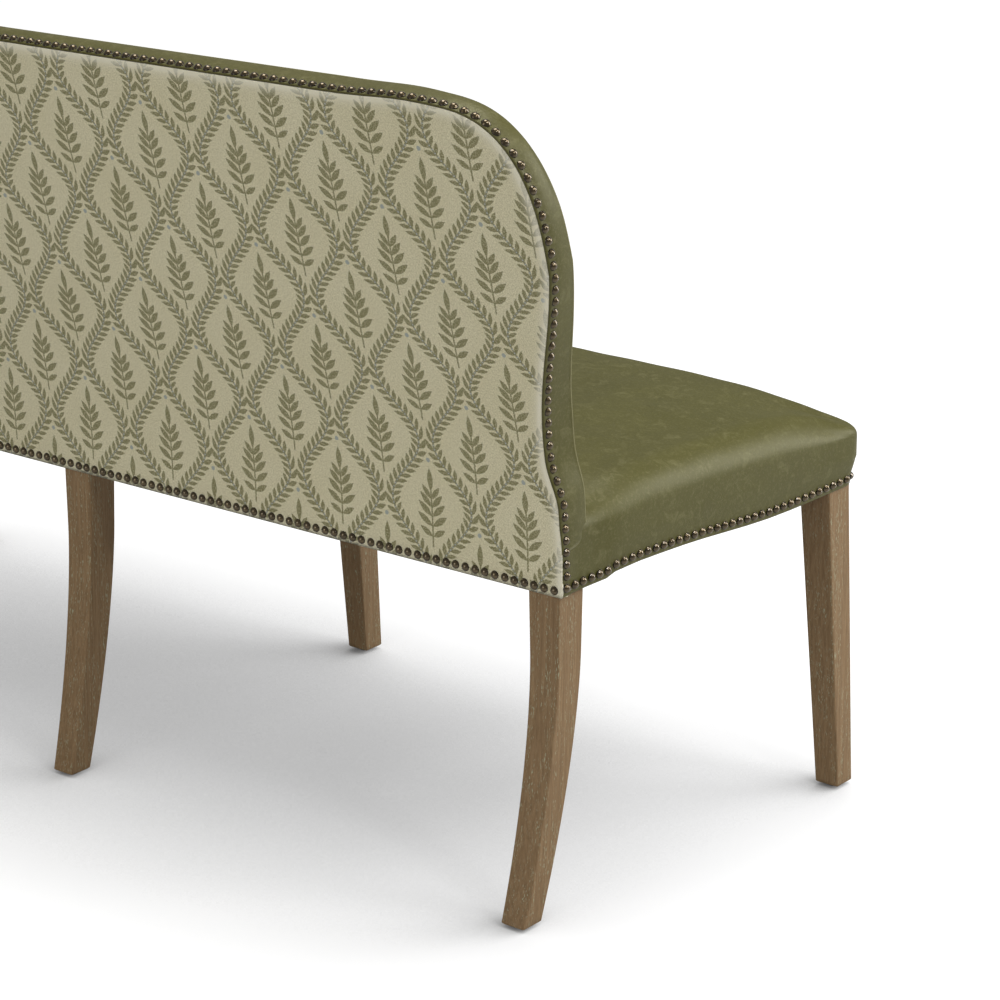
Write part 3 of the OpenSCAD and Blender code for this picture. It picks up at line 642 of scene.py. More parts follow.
def inside_back():
    """The padded inside back. Rows follow the outline. Across a row the surface starts under the
    side band's seam, rounds over on a slanted quarter circle, rises on a sine to its crown and
    runs level to the other side. Over the corner the inner rows are spread evenly. The front
    gets a swell by a sine up the back and a soft unevenness of a few waves."""
    line = Outline(base=BASE_Z, step=0.006)
    swell, unevenness = 0.006, 0.0005
    ring = [(0.0, -0.006)]
    ring += [(lip_out(a), LIP * math.sin(a)) for a in np.linspace(0, np.pi / 2, 13)]
    ring += [(LIP_W + LIP_RUN * k, LIP + (CROWN - LIP) * math.sin(math.pi / 2 * k))
             for k in np.linspace(0.08, 1, 10)]
    deep = LIP_W + LIP_RUN
    corner = np.nonzero(line.zone == 1)[0]
    columns = []
    for inset, rise in ring:
        x, z = line.at(inset + SEAM_GAP + line.pull * (1 - inset / deep))
        for v in (x, z):
            even = np.linspace(v[corner[0]], v[corner[-1]], len(corner))
            v[corner] += (even - v[corner]) * smooth(inset / deep)
        columns.append(back_point(x, z, seam_t(z) + rise))
    fill_middle(line, columns)
    points = both_sides(np.stack(columns, 1))
    rows, n = points.shape[:2]
    full = np.clip((from_ends(n) - 4) / 14, 0, 1)[None, :]
    x, y, z = points[..., 0], points[..., 1], points[..., 2]
    lift = wear(x, y, z, seed=5) * unevenness * full
    lift = lift + swell * full * np.sin(np.pi * np.clip((TOP_Z - z) / 0.5, 0, 1))
    y -= lift * math.cos(RAKE)
    z += lift * math.sin(RAKE)
    faces = grid_faces(rows, n, middle_kept(line, rows, len(columns)), flip=True)
    return mesh_piece("inside_back_leather", points, faces, LEATHER, edge=np.zeros((rows, n)),
                      weld=WELD)


def side_band():
    """The leather band round the back's edge. Along it the outline; across it the thickness from
    under the cloth to the front seam. It swells by a sine, is dented by the nails, and its front
    edge is folded: it rises by half a millimetre and turns in. Its lower end is cut to a rounded
    corner and tilts a little."""
    line = Outline(base=0.446, step=0.0035)
    x, z = line.at(0.0)
    run = line.length
    across = np.concatenate([[0, 0], np.linspace(0.02, 0.93, 15),
                             [0.955, 0.975, 0.99, 1.0, 1.0, 0.985]])
    folds = np.concatenate([[-0.0060, -0.0006], np.zeros(15),
                            [0.0002, 0.0005, 0.0006, 0.0001, -0.0010, -0.0016]])
    step_x, step_z = np.gradient(x, run), np.gradient(z, run)
    length = np.hypot(step_x, step_z)
    nx, nz = step_z / length, -step_x / length
    rear_t, corner, tilt, tilt_height = 0.0012, 0.0095, -0.06, 0.08
    height = z - z[0]
    low = np.clip(height, 0, corner)
    trim = np.where((height < corner) & (line.zone == 0),
                    corner - np.sqrt(np.maximum(corner**2 - (corner - low) ** 2, 0)), 0)
    width = seam_t(z) - trim - rear_t
    tilt = tilt * np.clip(1 - height / tilt_height, 0, 1) * (line.zone == 0)
    columns = []
    for share, fold in zip(across, folds):
        from_nails = share * BAND_W - NAIL_SET
        swell = 0.0010 * np.sin(np.pi * share) ** 0.8 + 0.0004
        pull = line.pull * np.where(line.pull > 0, share**6, share**2)
        d = swell + fold + nail_dents(run, from_nails, from_nails) - pull
        t = width * share
        columns.append(back_point(x + nx * d, z + nz * d + tilt * t, rear_t + t))
    right = np.stack(columns, 1)
    under = right[:1].copy()
    under[..., 0] -= 0.0016
    points = both_sides(np.concatenate([under, right], 0), 0)
    rows, n = points.shape[:2]
    edge = np.zeros((rows, n))
    # paler along the fold at the front seam: partly wear, partly a painted highlight
    edge[:, -5:-2] = 0.75
    # painted shade where the band tucks under the cloth at the rear and turns in at the front
    edge[:, [0, 1, -1]] = -1.0, -0.45, -0.6
    edge[[0, 1, -2, -1]] = 0.8
    return mesh_piece("side_band_leather", points, grid_faces(rows, n), LEATHER, edge=edge)


def outside_back():
    """The cloth on the rear. Rows follow the outline from the lower edge; across a row the cloth
    turns over a small rounded edge and lies on the bent rear face. Two rows turn it under at the
    bottom, and a groove by a bell curve runs along the nails there. The UV map is the cloth laid
    flat: x, and the length up the bent face."""
    line = Outline(base=LEG_H + 0.0005, step=0.006)
    edge_r = 0.0018
    ring = [(0.0004, 0.0034)]
    ring += [(edge_r * (1 - math.cos(a)) + 0.0002, edge_r * (1 - math.sin(a)))
             for a in np.linspace(0, np.pi / 2, 7)]
    ring += [(0.004 + 0.012 * k, 0.0) for k in np.linspace(0, 1, 4)]
    columns = []
    for inset, t in ring:
        x, z = line.at(0.0)
        x, z = line.at(inset + 0.0018 * smooth((z - 0.452) / 0.03))
        columns.append(back_point(x, z, t))
    fill_middle(line, columns)
    points = both_sides(np.stack(columns, 1))
    hem_forward, hem_drop, hem_narrow = np.array([0.0120, 0.0006]), 0.0016, 0.9975
    under = points[:2].copy()
    under[..., 1] -= hem_forward[:, None]
    under[..., 2] -= hem_drop
    under[..., 0] *= hem_narrow
    points = np.concatenate([under, points], 0)
    rows, n = points.shape[:2]
    height = np.linspace(0, 1.2, 2400)
    up = np.interp(points[..., 2], height, run_length(height, lean(height)))
    uv = np.stack([points[..., 0], up], -1).reshape(-1, 2)
    edge = np.interp(from_ends(n), [0, 8, 9, 10, 11], [0.9, 0.9, 0.35, 0.12, 0])
    edge = np.repeat(edge[None, :], rows, 0)
    edge[:3] = 0.4
    groove_w, groove = 0.008, 0.0006
    points[..., 1] -= bell(points[..., 2] - NAIL_ROW_Z, groove_w) * groove
    faces = grid_faces(rows, n, middle_kept(line, rows, len(columns)))
    return mesh_piece("outside_back_cloth", points, faces, CLOTH, uv=uv, edge=edge, weld=WELD)


# ---------------------------------------------------------------- seat
def half_at(y):
    """Half width of the seat at a depth: straight beside the rear corner, then flaring."""
    return HALF_REAR + np.maximum(0, REAR_Y - STRAIGHT - y) * FLARE / (SEAT_D - STRAIGHT)


# How far the leather's lower edge lies above its lowest level, in millimetres, at shares of the
# seat's depth from the rear.
EDGE_AT = [0, 0.078, 0.145, 0.172, 0.25, 0.324, 0.40, 0.46,
           0.53, 0.606, 0.683, 0.76, 0.838, 0.915, 1.0]
EDGE_MM = [0.0, 2.2, 3.2, 7.4, 9.4, 9.2, 8.6, 7.4, 5.4, 3.2, 1.9, 2.2, 3.4, 5.0, 7.2]


def edge_rise(y, x=1.0):
    """The lower edge's rise, by the table above. It comes down again along the front, a hand's
    width from the corner."""
    rise = np.interp(np.clip((REAR_Y - y) / SEAT_D, 0, 1), EDGE_AT, EDGE_MM) / 1000
    inwards = smooth((HALF_REAR + FLARE - 0.02 - x) / 0.07)
    return rise * (1 - inwards * (y < FRONT_Y + 0.03))


# the cushion's shoulder, how far its wall swells, and the low crown with its run inwards
SHOULDER_W, SHOULDER_H, BULGE, CREST, RUN = 0.042, 0.0562, 0.004, 0.006, 0.160
SHOULDER_TOP = DECK_Z + SHOULDER_H
# how much squarer, fuller, tighter and lower it is at the front corner and beside the back
CORNER_SQUARE, BACK_SQUARE = 2.4, 0.5
CORNER_BULGE, CORNER_TIGHT = 0.0028, 0.025
CORNER_DROP, BACK_DROP = 0.051, 0.022
ROLL, UNEVEN = 0.012, 0.0010
# rows beyond this place lie along the ends
END_X = 0.70
CUSHION_REAR = float(back_point(0, BASE_Z, seam_t(BASE_Z) + CROWN)[1]) - 0.0006
SEAM_Y = float(back_point(0, 0.462, seam_t(0.462))[1])
FLARE_ANGLE = math.atan2(FLARE, SEAT_D - STRAIGHT)
HALF_FRONT = HALF_REAR + FLARE
CORNER_X = HALF_FRONT - CORNER_R * (1 + math.sin(FLARE_ANGLE)) / math.cos(FLARE_ANGLE)
SIDE_Y = np.concatenate([np.linspace(REAR_Y - 0.0016, SEAM_Y + 0.004, 14),
                         np.linspace(SEAM_Y + 0.003, CUSHION_REAR - 0.012, 22),
                         np.linspace(CUSHION_REAR - 0.015, 0.100, 14)])
SIDE_SHARE = np.linspace(0, 1, 84)[1:]
CORNER_TURN = np.radians(np.linspace(math.degrees(FLARE_ANGLE), -90, 15))[1:]
FRONT_SHARE = np.linspace(1, 0, 151)[1:]
ROWS = len(SIDE_Y) + len(SIDE_SHARE) + len(CORNER_TURN) + len(FRONT_SHARE)


def seat_loop(inset, rear_limit=None):
    """Plan of one loop, moved inwards by an amount per row: along the end from the back, round the
    corner, along the front to the middle. Rows behind the rear limit are held at it."""
    inset = np.broadcast_to(np.asarray(inset, float), (ROWS,))
    n1, n2 = len(SIDE_Y), len(SIDE_Y) + len(SIDE_SHARE)
    n3 = n2 + len(CORNER_TURN)
    k = np.minimum(inset, CORNER_R - 0.002)
    over = inset - k
    y_side = SIDE_Y if rear_limit is None else np.minimum(SIDE_Y, rear_limit[:n1])
    start = FRONT_Y + CORNER_R + (CORNER_R - k[n1:n2]) * math.sin(FLARE_ANGLE) + over[n1:n2]
    y_end = SIDE_Y[-1] + (start - SIDE_Y[-1]) * SIDE_SHARE
    y = np.concatenate([y_side, y_end])
    x = half_at(y) - inset[:n2]
    c = slice(n2, n3)
    skew = 1 + FLARE / (SEAT_D - STRAIGHT)
    x_corner = CORNER_X + (CORNER_R - k[c]) * np.cos(CORNER_TURN) - over[c] * skew
    y_corner = FRONT_Y + CORNER_R + (CORNER_R - k[c]) * np.sin(CORNER_TURN) + over[c]
    x_front = (CORNER_X - over[n3:] * skew) * FRONT_SHARE
    y_front = FRONT_Y + k[n3:] + over[n3:]
    return np.concatenate([x, x_corner, x_front]), np.concatenate([y, y_corner, y_front])


def seat_section(x0, y0, run, low):
    """The loops of the seat's section, from the edge turned under to the rim of the level middle:
    how far in and how high each lies at every row. The wall swells by an eased step. The
    shoulder is a quarter of a superellipse, made squarer, fuller and tighter at the front corner
    by bell curves. Also says which loop ends the nailed border and which starts the crown."""
    square_w, back_square_w, beside_w, bulge_w, tight_w = 0.026, 0.030, 0.055, 0.060, 0.050
    wall_foot, wall_swell, straighten = 0.004, 0.046, 0.060
    from_corner = run - run[len(SIDE_Y) + len(SIDE_SHARE) + 7]
    at_end = x0 > END_X
    square = 2 + CORNER_SQUARE * bell(from_corner, square_w) \
        + BACK_SQUARE * bell(np.maximum(0, SEAM_Y - y0), back_square_w) * at_end
    beside = smooth((SEAM_Y - y0) / beside_w) * at_end + ~at_end
    bulge = BULGE * beside + CORNER_BULGE * bell(from_corner, bulge_w)
    arc = SHOULDER_W - CORNER_TIGHT * bell(from_corner, tight_w)
    insets, heights = [], []
    for inset, up in ((0.010, 0.0002), (0.0030, 0.0), (0.0010, 0.0006), (0.0002, 0.0020)):
        insets.append(np.full(ROWS, inset))
        heights.append(LEG_H + up + low)
    for up in np.linspace(wall_foot, SHOULDER_TOP - SHOULDER_W - LEG_H - 0.003, 19):
        insets.append(-bulge * float(smooth((up - wall_foot) / wall_swell)))
        heights.append(LEG_H + up + low * max(0, 1 - up / straighten))
    border = len(insets)
    for a in np.linspace(0, np.pi / 2, 15)[1:]:
        insets.append((arc + bulge) * (1 - max(math.cos(a), 0) ** (2 / square)) - bulge)
        heights.append(SHOULDER_TOP - arc + arc * math.sin(a) ** (2 / square))
    crown = len(insets)
    for k in np.linspace(0.06, 1, 14):
        insets.append(np.full(ROWS, SHOULDER_W + k * RUN))
        heights.append(np.full(ROWS, SHOULDER_TOP))
    return insets, heights, border, crown


def seat_grid(insets, heights, border):
    """Points of every loop, row by row, and how far in each lies. Above the border the rows' rear
    limit follows the inside back's rounded edge. The last loop is carried to the middle, at the
    places of the front's rows."""
    a = np.linspace(0, np.pi / 2, 13)
    columns = []
    for index, (inset, z) in enumerate(zip(insets, heights)):
        limit = None
        if index >= border:
            lip = np.interp(inset, lip_out(a), CROWN - LIP * np.sin(a))
            past = inset - LIP_W
            lip = np.where(past > 0, np.maximum(0.006, lip - past), lip + 0.004)
            limit = CUSHION_REAR + lip + 0.024 * np.clip(1 - inset / 0.004, 0, 1)
        x, y = seat_loop(inset, limit)
        columns.append(np.stack([x, y, z], -1))
    last, rim = columns[-1], np.full(ROWS, RUN + SHOULDER_W)
    columns += [last * np.array([share, 1, 1]) for share in FRONT_SHARE]
    insets = insets + [rim] * len(FRONT_SHARE)
    return np.stack(columns, 1), np.stack(insets, 1)


def seat_heights(x, y, z, inset, on_crown):
    """Heights with the crown and the drops. The crown is a sine of the soft minimum of the
    distances from the end and from the front. It is drawn down at the front corner by an
    exponential curve and beside the back by a product of two bell curves, and rolls down on a
    quarter circle against the inside back."""
    drop_w, drop_soft, back_x_w, back_y_w, over_w, roll_w = 0.062, 0.020, 0.055, 0.060, 0.130, 0.060
    soft, most = 0.045, 0.8
    near = -soft * np.log(np.exp(-np.clip(half_at(y) - x, 0, most) / soft)
                          + np.exp(-np.clip(y - FRONT_Y, 0, most) / soft))
    rise = CREST * np.sin(np.pi / 2 * np.clip((near - SHOULDER_W) / RUN, -0.4, 1))
    z = np.where(on_crown, z + rise, z)
    far = np.sqrt((x - HALF_FRONT) ** 2 + (y - FRONT_Y) ** 2 + drop_soft**2)
    front = np.exp(-far / drop_w) * np.clip((z - 0.436) / 0.060, 0, 1)
    back = bell(x - HALF_REAR + inset, back_x_w) * bell(np.maximum(SEAM_Y - y, 0), back_y_w)
    back = back * smooth(1 - np.maximum(inset, 0) / over_w) * np.clip((z - 0.450) / 0.055, 0, 1)
    z = z - CORNER_DROP * front - BACK_DROP * back
    gap = np.clip(CUSHION_REAR + 0.004 - y, 0, ROLL)
    return z - smooth((inset - ROLL) / roll_w) * (ROLL - np.sqrt(ROLL**2 - (ROLL - gap) ** 2))


def seat_leather():
    """The seat's leather as one skin: turned under at its lower edge, up past the nails, swelling
    to a large rounded shoulder, then a low crown and a level middle. The end wall runs back
    under the side band. The wall is dented by the nails, and the top gets a little unevenness of
    a few waves."""
    x0, y0 = seat_loop(0.0)
    run = run_length(x0, y0)
    low = edge_rise(y0, x0)
    insets, heights, border, crown = seat_section(x0, y0, run, low)
    right, inset = seat_grid(insets, heights, border)
    x, y, z = right[..., 0], right[..., 1], right[..., 2]
    column = np.arange(right.shape[1])[None, :]
    z = seat_heights(x, y, z, inset, column >= crown)
    up = z - (LEG_H + low[:, None])
    out = nail_dents(run[:, None] - FIRST_NAIL, up - 0.011, up - SEAT_ROW_UP) * (column < border)
    nx, ny = np.gradient(y0, run), np.gradient(x0, run)
    size = np.hypot(nx, ny)
    x, y = x - (nx / size)[:, None] * out, y + (ny / size)[:, None] * out
    z = z + wear(x, y, z, seed=11) * UNEVEN * np.clip((z - 0.47) / 0.03, 0, 1)
    points = both_sides(np.stack([x, y, z], -1))
    rows, n = points.shape[:2]
    edge = np.zeros((rows, n))
    # painted shade on the leather turned under the seat's lower edge
    edge[:, [0, 1, -2, -1]] = -0.3
    # no quads between the front's rows in the level middle, where they would lie on a line
    keep = np.ones((rows - 1, n - 1), bool)
    level, rim = len(FRONT_SHARE), right.shape[1] - len(FRONT_SHARE)
    keep[ROWS - level - 1:, rim - 1:n - rim] = False
    return mesh_piece("seat_leather", points, grid_faces(rows, n, keep), LEATHER, edge=edge,
                      weld=0.00002)


# ---------------------------------------------------------------- nails
def nails(name, places, normals):
    """Domes: a disc of rings, each ring's height the circle's arc, with painted shade on the rim
    where it meets the surface. Each stands on its place along its normal, tilted and shifted by a
    small fixed irregularity."""
    rng = np.random.default_rng(3)
    sides, rim, tilt, shift = 12, 0.0006, 0.035, 0.0002
    ring = np.array([0.0, 0.42, 0.76, 0.95, 1.0, 1.01])
    ball = (NAIL_D**2 / 4 + NAIL_H**2) / (2 * NAIL_H)
    r = ring * NAIL_D / 2
    h = np.sqrt(np.maximum(ball**2 - r**2, 0)) - (ball - NAIL_H)
    h[-2], h[-1] = rim, -rim
    turn = np.linspace(0, 2 * np.pi, sides, endpoint=False)
    local = np.stack([np.outer(r, np.cos(turn)), np.outer(r, np.sin(turn)),
                      np.repeat(h[:, None], sides, 1)], -1).reshape(-1, 3)
    faces = grid_faces(len(ring), sides, closed=True)
    normals = unit(normals)
    normals = unit(normals + rng.normal(scale=tilt, size=normals.shape))
    helper = np.where(np.abs(normals[:, 2:3]) < 0.9, [[0, 0, 1.0]], [[1.0, 0, 0]])
    a = unit(np.cross(helper, normals))
    b = np.cross(normals, a)
    places = places + a * rng.normal(scale=shift, size=(len(places), 1))
    points = (places[:, None] + local[None, :, :1] * a[:, None] + local[None, :, 1:2] * b[:, None]
              + local[None, :, 2:] * normals[:, None])
    first = np.arange(len(places)) * len(local)
    all_faces = (faces[None] + first[:, None, None]).reshape(-1, 4)
    # painted shade on the outer rings, darkest at the rim
    edge = np.tile(np.repeat([0, 0, 0.1, 0.5, 1, 1], sides), len(places))
    return mesh_piece(name, points, all_faces, BRONZE, edge=edge, weld=0.00001)


def back_nails():
    """A row round the cloth's edge, on the side band."""
    line = Outline(base=LEG_H - 0.002, step=0.0005)
    total = line.length[-1] * 2
    start, out, inwards = 0.011, 0.0006, 0.0016
    count = int(round((total - 2 * start) / PITCH))
    at = start + (total - 2 * start) * np.arange(count + 1) / count
    fold = np.minimum(at, total - at)
    x, z = line.at(0.0)
    gx, gz = np.gradient(x, line.length), np.gradient(z, line.length)
    px, pz = np.interp(fold, line.length, x), np.interp(fold, line.length, z)
    nx, nz = np.interp(fold, line.length, gz), -np.interp(fold, line.length, gx)
    side = np.where(at <= total / 2, 1, -1)
    p = back_point(px + nx * out, pz + nz * out, NAIL_SET - inwards * smooth((pz - 0.70) / 0.2))
    n = np.stack([nx, nz * math.sin(RAKE), nz * math.cos(RAKE)], -1)
    for v in (p, n):
        v[:, 0] *= side
    return nails("back_edge_nail_row", p, n)


def rear_nails():
    """A level row along the cloth's lower edge."""
    end_gap, sunk, uneven = 0.0105, 0.0003, 0.00025
    half = HALF_REAR - end_gap
    count = int(round(2 * half / PITCH))
    x = np.linspace(-half, half, count + 1)
    y = np.full(len(x), REAR_Y - sunk) + lean(NAIL_ROW_Z)
    rng = np.random.default_rng(8)
    z = NAIL_ROW_Z - 0.0005 + rng.normal(scale=uneven, size=len(x))
    return nails("rear_nail_row", np.stack([x, y, z], -1), np.tile([0.0, 1.0, 0.0], (len(x), 1)))


def seat_nails():
    """A row round the ends and the front of the seat, a centimetre above the leather's edge."""
    x, y = seat_loop(0.0)
    run = run_length(x, y)
    count = int(round((run[-1] - FIRST_NAIL) / PITCH))
    at = FIRST_NAIL + np.arange(count + 1) * (run[-1] - FIRST_NAIL) / count
    px, py, gx, gy = (np.interp(at, run, v)
                      for v in (x, y, np.gradient(x, run), np.gradient(y, run)))
    z = LEG_H + SEAT_ROW_UP + edge_rise(py, px)
    out = 0.0002
    p = np.stack([px - gy * out, py + gx * out, z], -1)
    n = np.stack([-gy, gx, 0 * gx], -1)
    keep = px > 0.003
    return nails("seat_nail_row", np.concatenate([p, p[keep] * MIRROR]),
                 np.concatenate([n, n[keep] * MIRROR]))


# ---------------------------------------------------------------- legs
def square_leg(name, z, x0, x1, y0, y1):
    """A leg lofted through level sections. Each is a rectangle whose corners are small quarter
    circles, with points along its faces; the foot is chamfered."""
    z, x0, x1, y0, y1 = (np.asarray(v, float) for v in np.broadcast_arrays(z, x0, x1, y0, y1))
    radius, chamfer, inner = 0.0018, 0.0016, -0.0014
    shrink = np.where(z < z[0] + 0.0002, chamfer, 0.0)[:, None]
    quarter = np.linspace(0, np.pi / 2, 4)
    bend_x = np.concatenate([[radius], radius * np.cos(quarter), [inner]])
    bend_y = np.concatenate([[inner], radius * np.sin(quarter), [radius]])
    px, py, fx, fy = [], [], [], []
    for (sx, sy), (c, d) in zip(((1, 1), (0, 1), (0, 0), (1, 0)),
                                ((1, 0), (0, 1), (-1, 0), (0, -1))):
        px.append(c * bend_x - d * bend_y), py.append(d * bend_x + c * bend_y)
        fx.append(np.full(len(bend_x), sx)), fy.append(np.full(len(bend_x), sy))
    px, py, fx, fy = map(np.concatenate, (px, py, fx, fy))
    around = len(px)
    x = x0[:, None] + radius + (x1 - x0 - 2 * radius)[:, None] * fx[None] + px[None]
    y = y0[:, None] + radius + (y1 - y0 - 2 * radius)[:, None] * fy[None] + py[None]
    mid_x, mid_y = ((x0 + x1) / 2)[:, None], ((y0 + y1) / 2)[:, None]
    x = x - np.sign(x - mid_x) * shrink
    y = y - np.sign(y - mid_y) * shrink
    points = np.stack([x, y, np.repeat(z[:, None], around, 1)], -1)
    low, high = (np.stack([np.repeat(mid_x[end], around, 1), np.repeat(mid_y[end], around, 1),
                           points[end, :, 2]], -1) for end in (slice(0, 1), slice(-1, None)))
    points = np.concatenate([low, points, high], 0)
    faces = grid_faces(len(points), around, closed=True)
    piece = mesh_piece(name, points, faces, OAK, weld=0.00001)
    split = piece.modifiers.new("crisp", "EDGE_SPLIT")
    split.split_angle = math.radians(50)
    return piece


def taper(z):
    """How far down the leg a height is, from 0 at the seat to 1 at the floor, with the leg's
    width and depth there, which shrink in proportion."""
    foot = np.maximum(0, LEG_H - z) / LEG_H
    return foot, LEG_W - TAPER_W * foot, LEG_D - TAPER_D * foot


def across_bench(x0, x1, side):
    """A pair of sides' places, mirrored for the left leg."""
    return (-x1, -x0) if side < 0 else (x0, x1)


def rear_leg(name, side):
    """A rear leg and its post: the foot kicks back along a power curve, and above the seat the
    post is thinner and follows the raked back."""
    post_z, kick_z, post_x = 0.4552, 0.320, 0.742
    z = np.concatenate([[0.0045, 0.0061], np.linspace(0.012, 0.39, 48),
                        [0.40, 0.448, 0.455, 0.4555], np.linspace(0.462, 0.885, 24)])
    kick = (np.maximum(0, kick_z - z) / kick_z) ** 1.65
    _, wide, depth = taper(z)
    rear = REAR_Y - 0.003 + 0.048 * kick \
        + np.where(z > 0.45, lean(z) + 0.0008, lean(np.minimum(z, 0.45)))
    depth = np.where(z > post_z, 0.0285, depth)
    if side:
        x1 = np.where(z > post_z, post_x, 0.755 - 0.012 * kick)
        x0 = np.where(z > post_z, post_x - 0.038, x1 - wide)
    else:
        x0, x1 = -wide / 2, wide / 2
    return square_leg(name, z, *across_bench(x0, x1, side), rear - depth, rear)


def front_leg(name, side):
    """A front leg: straight, leaning a little forwards and outwards, tapering to the foot."""
    z = np.concatenate([[0.0045, 0.0061], np.linspace(0.012, 0.39, 24), [0.40, 0.43, 0.4545]])
    foot, wide, depth = taper(z)
    y0 = FRONT_Y + LEG_SETBACK - LEG_SPLAY * foot
    y1 = y0 + depth
    if side:
        x1 = HALF_FRONT - LEG_SETBACK + 0.005 * foot
        x0 = x1 - wide
    else:
        x0, x1 = -wide / 2, wide / 2
        y0 = np.where(z > LEG_H + 0.0005, FRONT_Y + 0.0295, y0)
    return square_leg(name, z, *across_bench(x0, x1, side), y0, y1)


# ---------------------------------------------------------------- cloth under the seat
def under_cloth():
    """Black lining stretched under the rails: a level grid that sags between them, by a sine
    along the bench and by an eased step from each rail, notched round the legs. Also its flat
    size and the area that is left of it."""
    step, side_gap, over_leather, most_sag = 0.0125, 0.009, 0.0006, 0.004
    y_low, y_high = FRONT_Y + 0.004, REAR_Y - 0.003
    y = np.linspace(y_low, y_high, int((y_high - y_low) / step))
    half = half_at(y) - side_gap
    s = np.linspace(-1, 1, 126)
    x = half[:, None] * s[None]
    y = np.repeat(y[:, None], len(s), 1)
    a = np.clip((half[:, None] - np.abs(x)) / 0.05, 0, 1)
    bay = np.abs(np.sin(np.pi * np.clip(np.abs(x) / 0.755, 0, 1)))
    depth = np.clip(np.minimum(y - y_low, y_high - y) / 0.20, 0, 1)
    sag = most_sag * smooth(a) * bay**0.6 * smooth(depth)
    z = LEG_H + over_leather + edge_rise(y) * (1 - smooth(a)) - sag
    points = np.stack([x, y, z], -1)
    mid_x = (x[1:, 1:] + x[:-1, :-1]) / 2
    mid_y = (y[1:, 1:] + y[:-1, :-1]) / 2
    keep = np.ones(mid_x.shape, bool)
    notch_x, notch_y, rear_y, front_y = 0.027, 0.029, 0.198, -0.293
    for leg_x, leg_y in ((0.733, rear_y), (0.0, rear_y), (0.7695, front_y), (0.0, front_y)):
        keep &= ~((np.abs(np.abs(mid_x) - leg_x) < notch_x) & (np.abs(mid_y - leg_y) < notch_y))
    cell = (half.mean() * 2 / (len(s) - 1)) * (y_high - y_low) / (len(y) - 1)
    area = keep.sum() * cell
    faces = grid_faces(len(y), len(s), keep, flip=True)
    piece = mesh_piece("under_lining", points, faces, UNDER)
    thick = piece.modifiers.new("thick", "SOLIDIFY")
    thick.thickness = 0.0008
    thick.offset = -1
    return piece, (float(half.max() * 2), float(y_high - y_low)), float(area)


# ---------------------------------------------------------------- make and place everything
def settle(piece, slot, *nodes):
    """Put a piece on the one body and hide the nodes it stands for. The slot is not used."""
    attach(piece, "root")
    if nodes:
        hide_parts(*nodes)
    return piece


inside = settle(inside_back(), "leather", "inside_back_cover", "back_foam")
settle(side_band(), "leather", "back_band")
settle(outside_back(), "fabric", "outside_back_panel")
seat = settle(seat_leather(), "leather", "seat_cover", "seat_border", "seat_foam")
settle(back_nails(), "nails", "back_edge_nails")
settle(rear_nails(), "nails", "rear_rail_nails")
settle(seat_nails(), "nails", "seat_edge_nails")
for label, side in (("left", -1), ("middle", 0), ("right", 1)):
    settle(rear_leg("rear_leg_%s_oak" % label, side), "oak", "rear_leg_" + label)
    settle(front_leg("front_leg_%s_oak" % label, side), "oak", "front_leg_" + label)
lining, lining_size, lining_area = under_cloth()
settle(lining, "black_cloth", "dust_cover")

for node, finish in {
    "glides": GLIDE, "front_rail": BEECH, "rear_rail_left": BEECH, "rear_rail_right": BEECH,
    "end_rail_left": BEECH, "end_rail_right": BEECH, "centre_rail": BEECH, "corner_blocks": BEECH,
    "back_top_rail": BEECH, "back_lower_rail_left": BEECH, "back_lower_rail_right": BEECH,
    "back_ear_left": BEECH, "back_ear_right": BEECH, "block_screws": STEEL,
    "dust_cover_staples": STEEL, "cross_webbing": WEBBING, "long_webbing": WEBBING,
    "back_webbing": WEBBING, "deck_cloth": HESSIAN,
}.items():
    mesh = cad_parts[node].data
    mesh.materials.clear()
    mesh.materials.append(finish)

# ---------------------------------------------------------------- stage, lights and camera
def stage_finish():
    """Pale floor: to the camera a dim matt floor, which keeps the cast shadow, plus a white glow
    with a painted shadow; matt to everything else. The painted shadow is the share of the sky that
    a tilted dome sees, raised to a power."""
    f = Finish("pale_floor", roughness=0.6, specular=0.25)
    f.shader.inputs["Base Color"].default_value = (0.64, 0.64, 0.63, 1)
    light, path, both, pick = (f.node(kind) for kind in ("Emission", "LightPath", "AddShader",
                                                         "MixShader"))
    reach, dome, power, level = 0.68, (-0.42, -0.30, 0.86), 1.38, 0.93
    near = f.node("AmbientOcclusion", Distance=reach)
    near.samples = 8
    f.link(f.join(*dome), near.inputs["Normal"])
    # the glow's strength is the painted shadow
    shown = Value(f.tree, near.outputs["AO"]).power(power) * level
    f.link(shown.socket, light.inputs["Strength"])
    out = f.tree.nodes["Material Output"]
    dim = f.node("BsdfDiffuse", Color=(0.32, 0.32, 0.32, 1))
    f.link(dim.outputs[0], both.inputs[0])
    f.link(light.outputs[0], both.inputs[1])
    f.link(path.outputs["Is Camera Ray"], pick.inputs[0])
    f.link(f.shader.outputs[0], pick.inputs[1])
    f.link(both.outputs[0], pick.inputs[2])
    f.link(pick.outputs[0], out.inputs["Surface"])
    return f.material


floor = mesh_piece("floor", np.array([[-9, -9, 0], [9, -9, 0], [9, 9, 0], [-9, 9, 0]], float),
                   np.array([[0, 1, 2, 3]]), stage_finish())

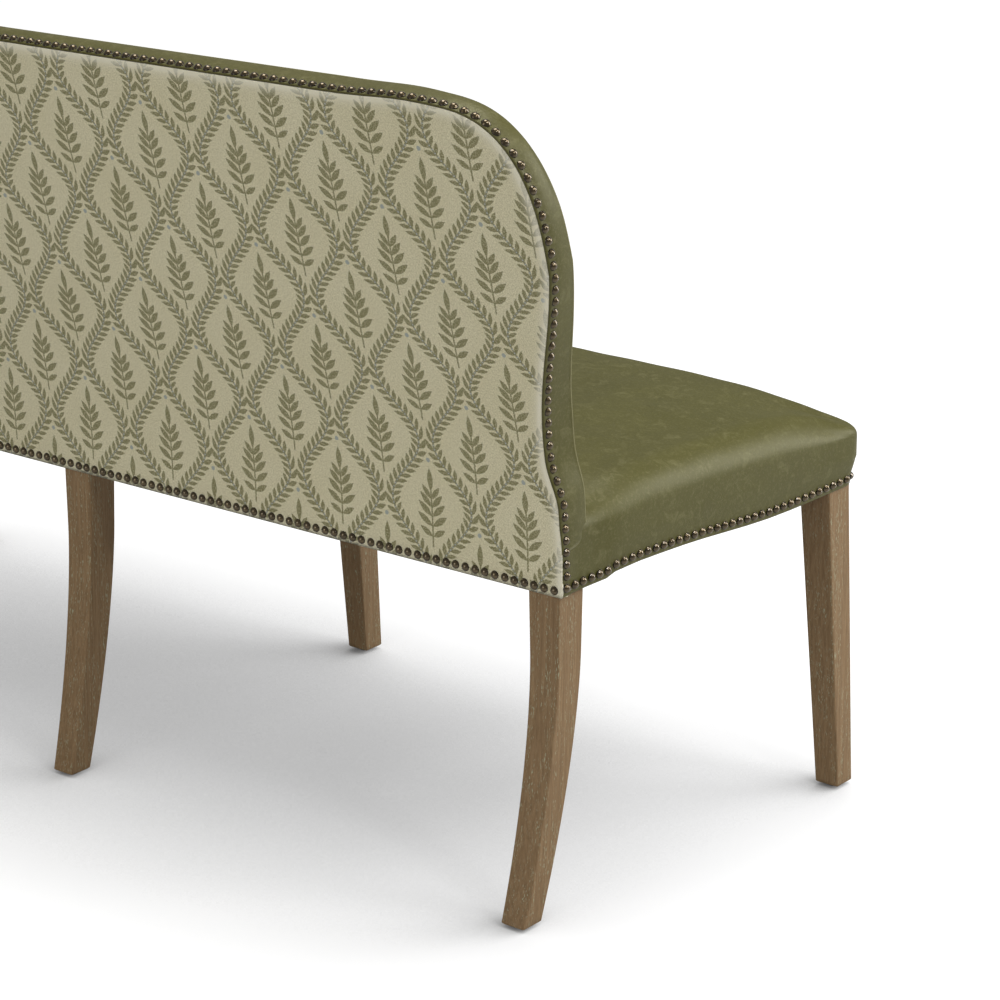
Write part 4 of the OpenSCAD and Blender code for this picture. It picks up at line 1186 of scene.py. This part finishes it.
world = bpy.data.worlds.new("studio")
bpy.context.scene.world = world
world.use_nodes = True
sky = world.node_tree
dim_sky = sky.nodes["Background"]
white_sky = sky.nodes.new("ShaderNodeBackground")
for shade, strength in ((dim_sky, 0.25), (white_sky, 1.0)):
    shade.inputs["Color"].default_value = (1, 1, 1, 1)
    shade.inputs["Strength"].default_value = strength
path = sky.nodes.new("ShaderNodeLightPath")
pick = sky.nodes.new("ShaderNodeMixShader")
for source, slot in ((path.outputs["Is Camera Ray"], pick.inputs[0]),
                     (dim_sky.outputs[0], pick.inputs[1]), (white_sky.outputs[0], pick.inputs[2]),
                     (pick.outputs[0], sky.nodes["World Output"].inputs["Surface"])):
    sky.links.new(source, slot)


def lamp(name, place, aim, size, watts):
    """A square soft lamp at a place, facing a point."""
    data = bpy.data.lights.new(name, "AREA")
    data.shape = "SQUARE"
    data.size = size
    data.energy = watts
    piece = bpy.data.objects.new(name, data)
    bpy.context.scene.collection.objects.link(piece)
    d = np.array(aim, float) - np.array(place, float)
    yaw = math.atan2(d[1], d[0])
    pitch = math.atan2(-d[2], math.hypot(d[0], d[1]))
    piece.location = place
    piece.rotation_euler = (math.pi / 2 - pitch, 0, yaw - math.pi / 2)


lamp("front_key", (-3.0, -2.8, 1.9), (-0.4, 0, 0.5), 2.0, 72)
lamp("corner_key", (-2.5, -0.6, 2.9), (-0.7, 0, 0.5), 0.6, 20)
lamp("low_spark", (-2.7, -2.2, 0.85), (-0.6, 0, 0.5), 0.12, 4)
lamp("end_key", (-3.4, 0.9, 2.8), (-0.7, 0, 0.5), 0.35, 18)
lamp("top", (-0.15, -0.1, 3.6), (0, 0, 0.4), 1.8, 64)
lamp("rear_fill", (-0.2, 4.6, 2.0), (-0.2, 0, 0.6), 2.4, 46)

azimuth, elevation = math.radians(218.47), math.radians(17.93)
camera_data = bpy.data.cameras.new("camera")
focal_px, frame_px = 3214, 1000
camera_data.sensor_width = 36
camera_data.lens = focal_px / frame_px * camera_data.sensor_width
camera_data.clip_end = 50
camera = bpy.data.objects.new("camera", camera_data)
bpy.context.scene.collection.objects.link(camera)
camera.location = (-2.7827, 2.8766, 1.5896)
camera.rotation_euler = (math.pi / 2 - elevation, 0, azimuth)
bpy.context.scene.camera = camera
bpy.context.scene.view_settings.view_transform = "Standard"

bpy.context.view_layer.update()
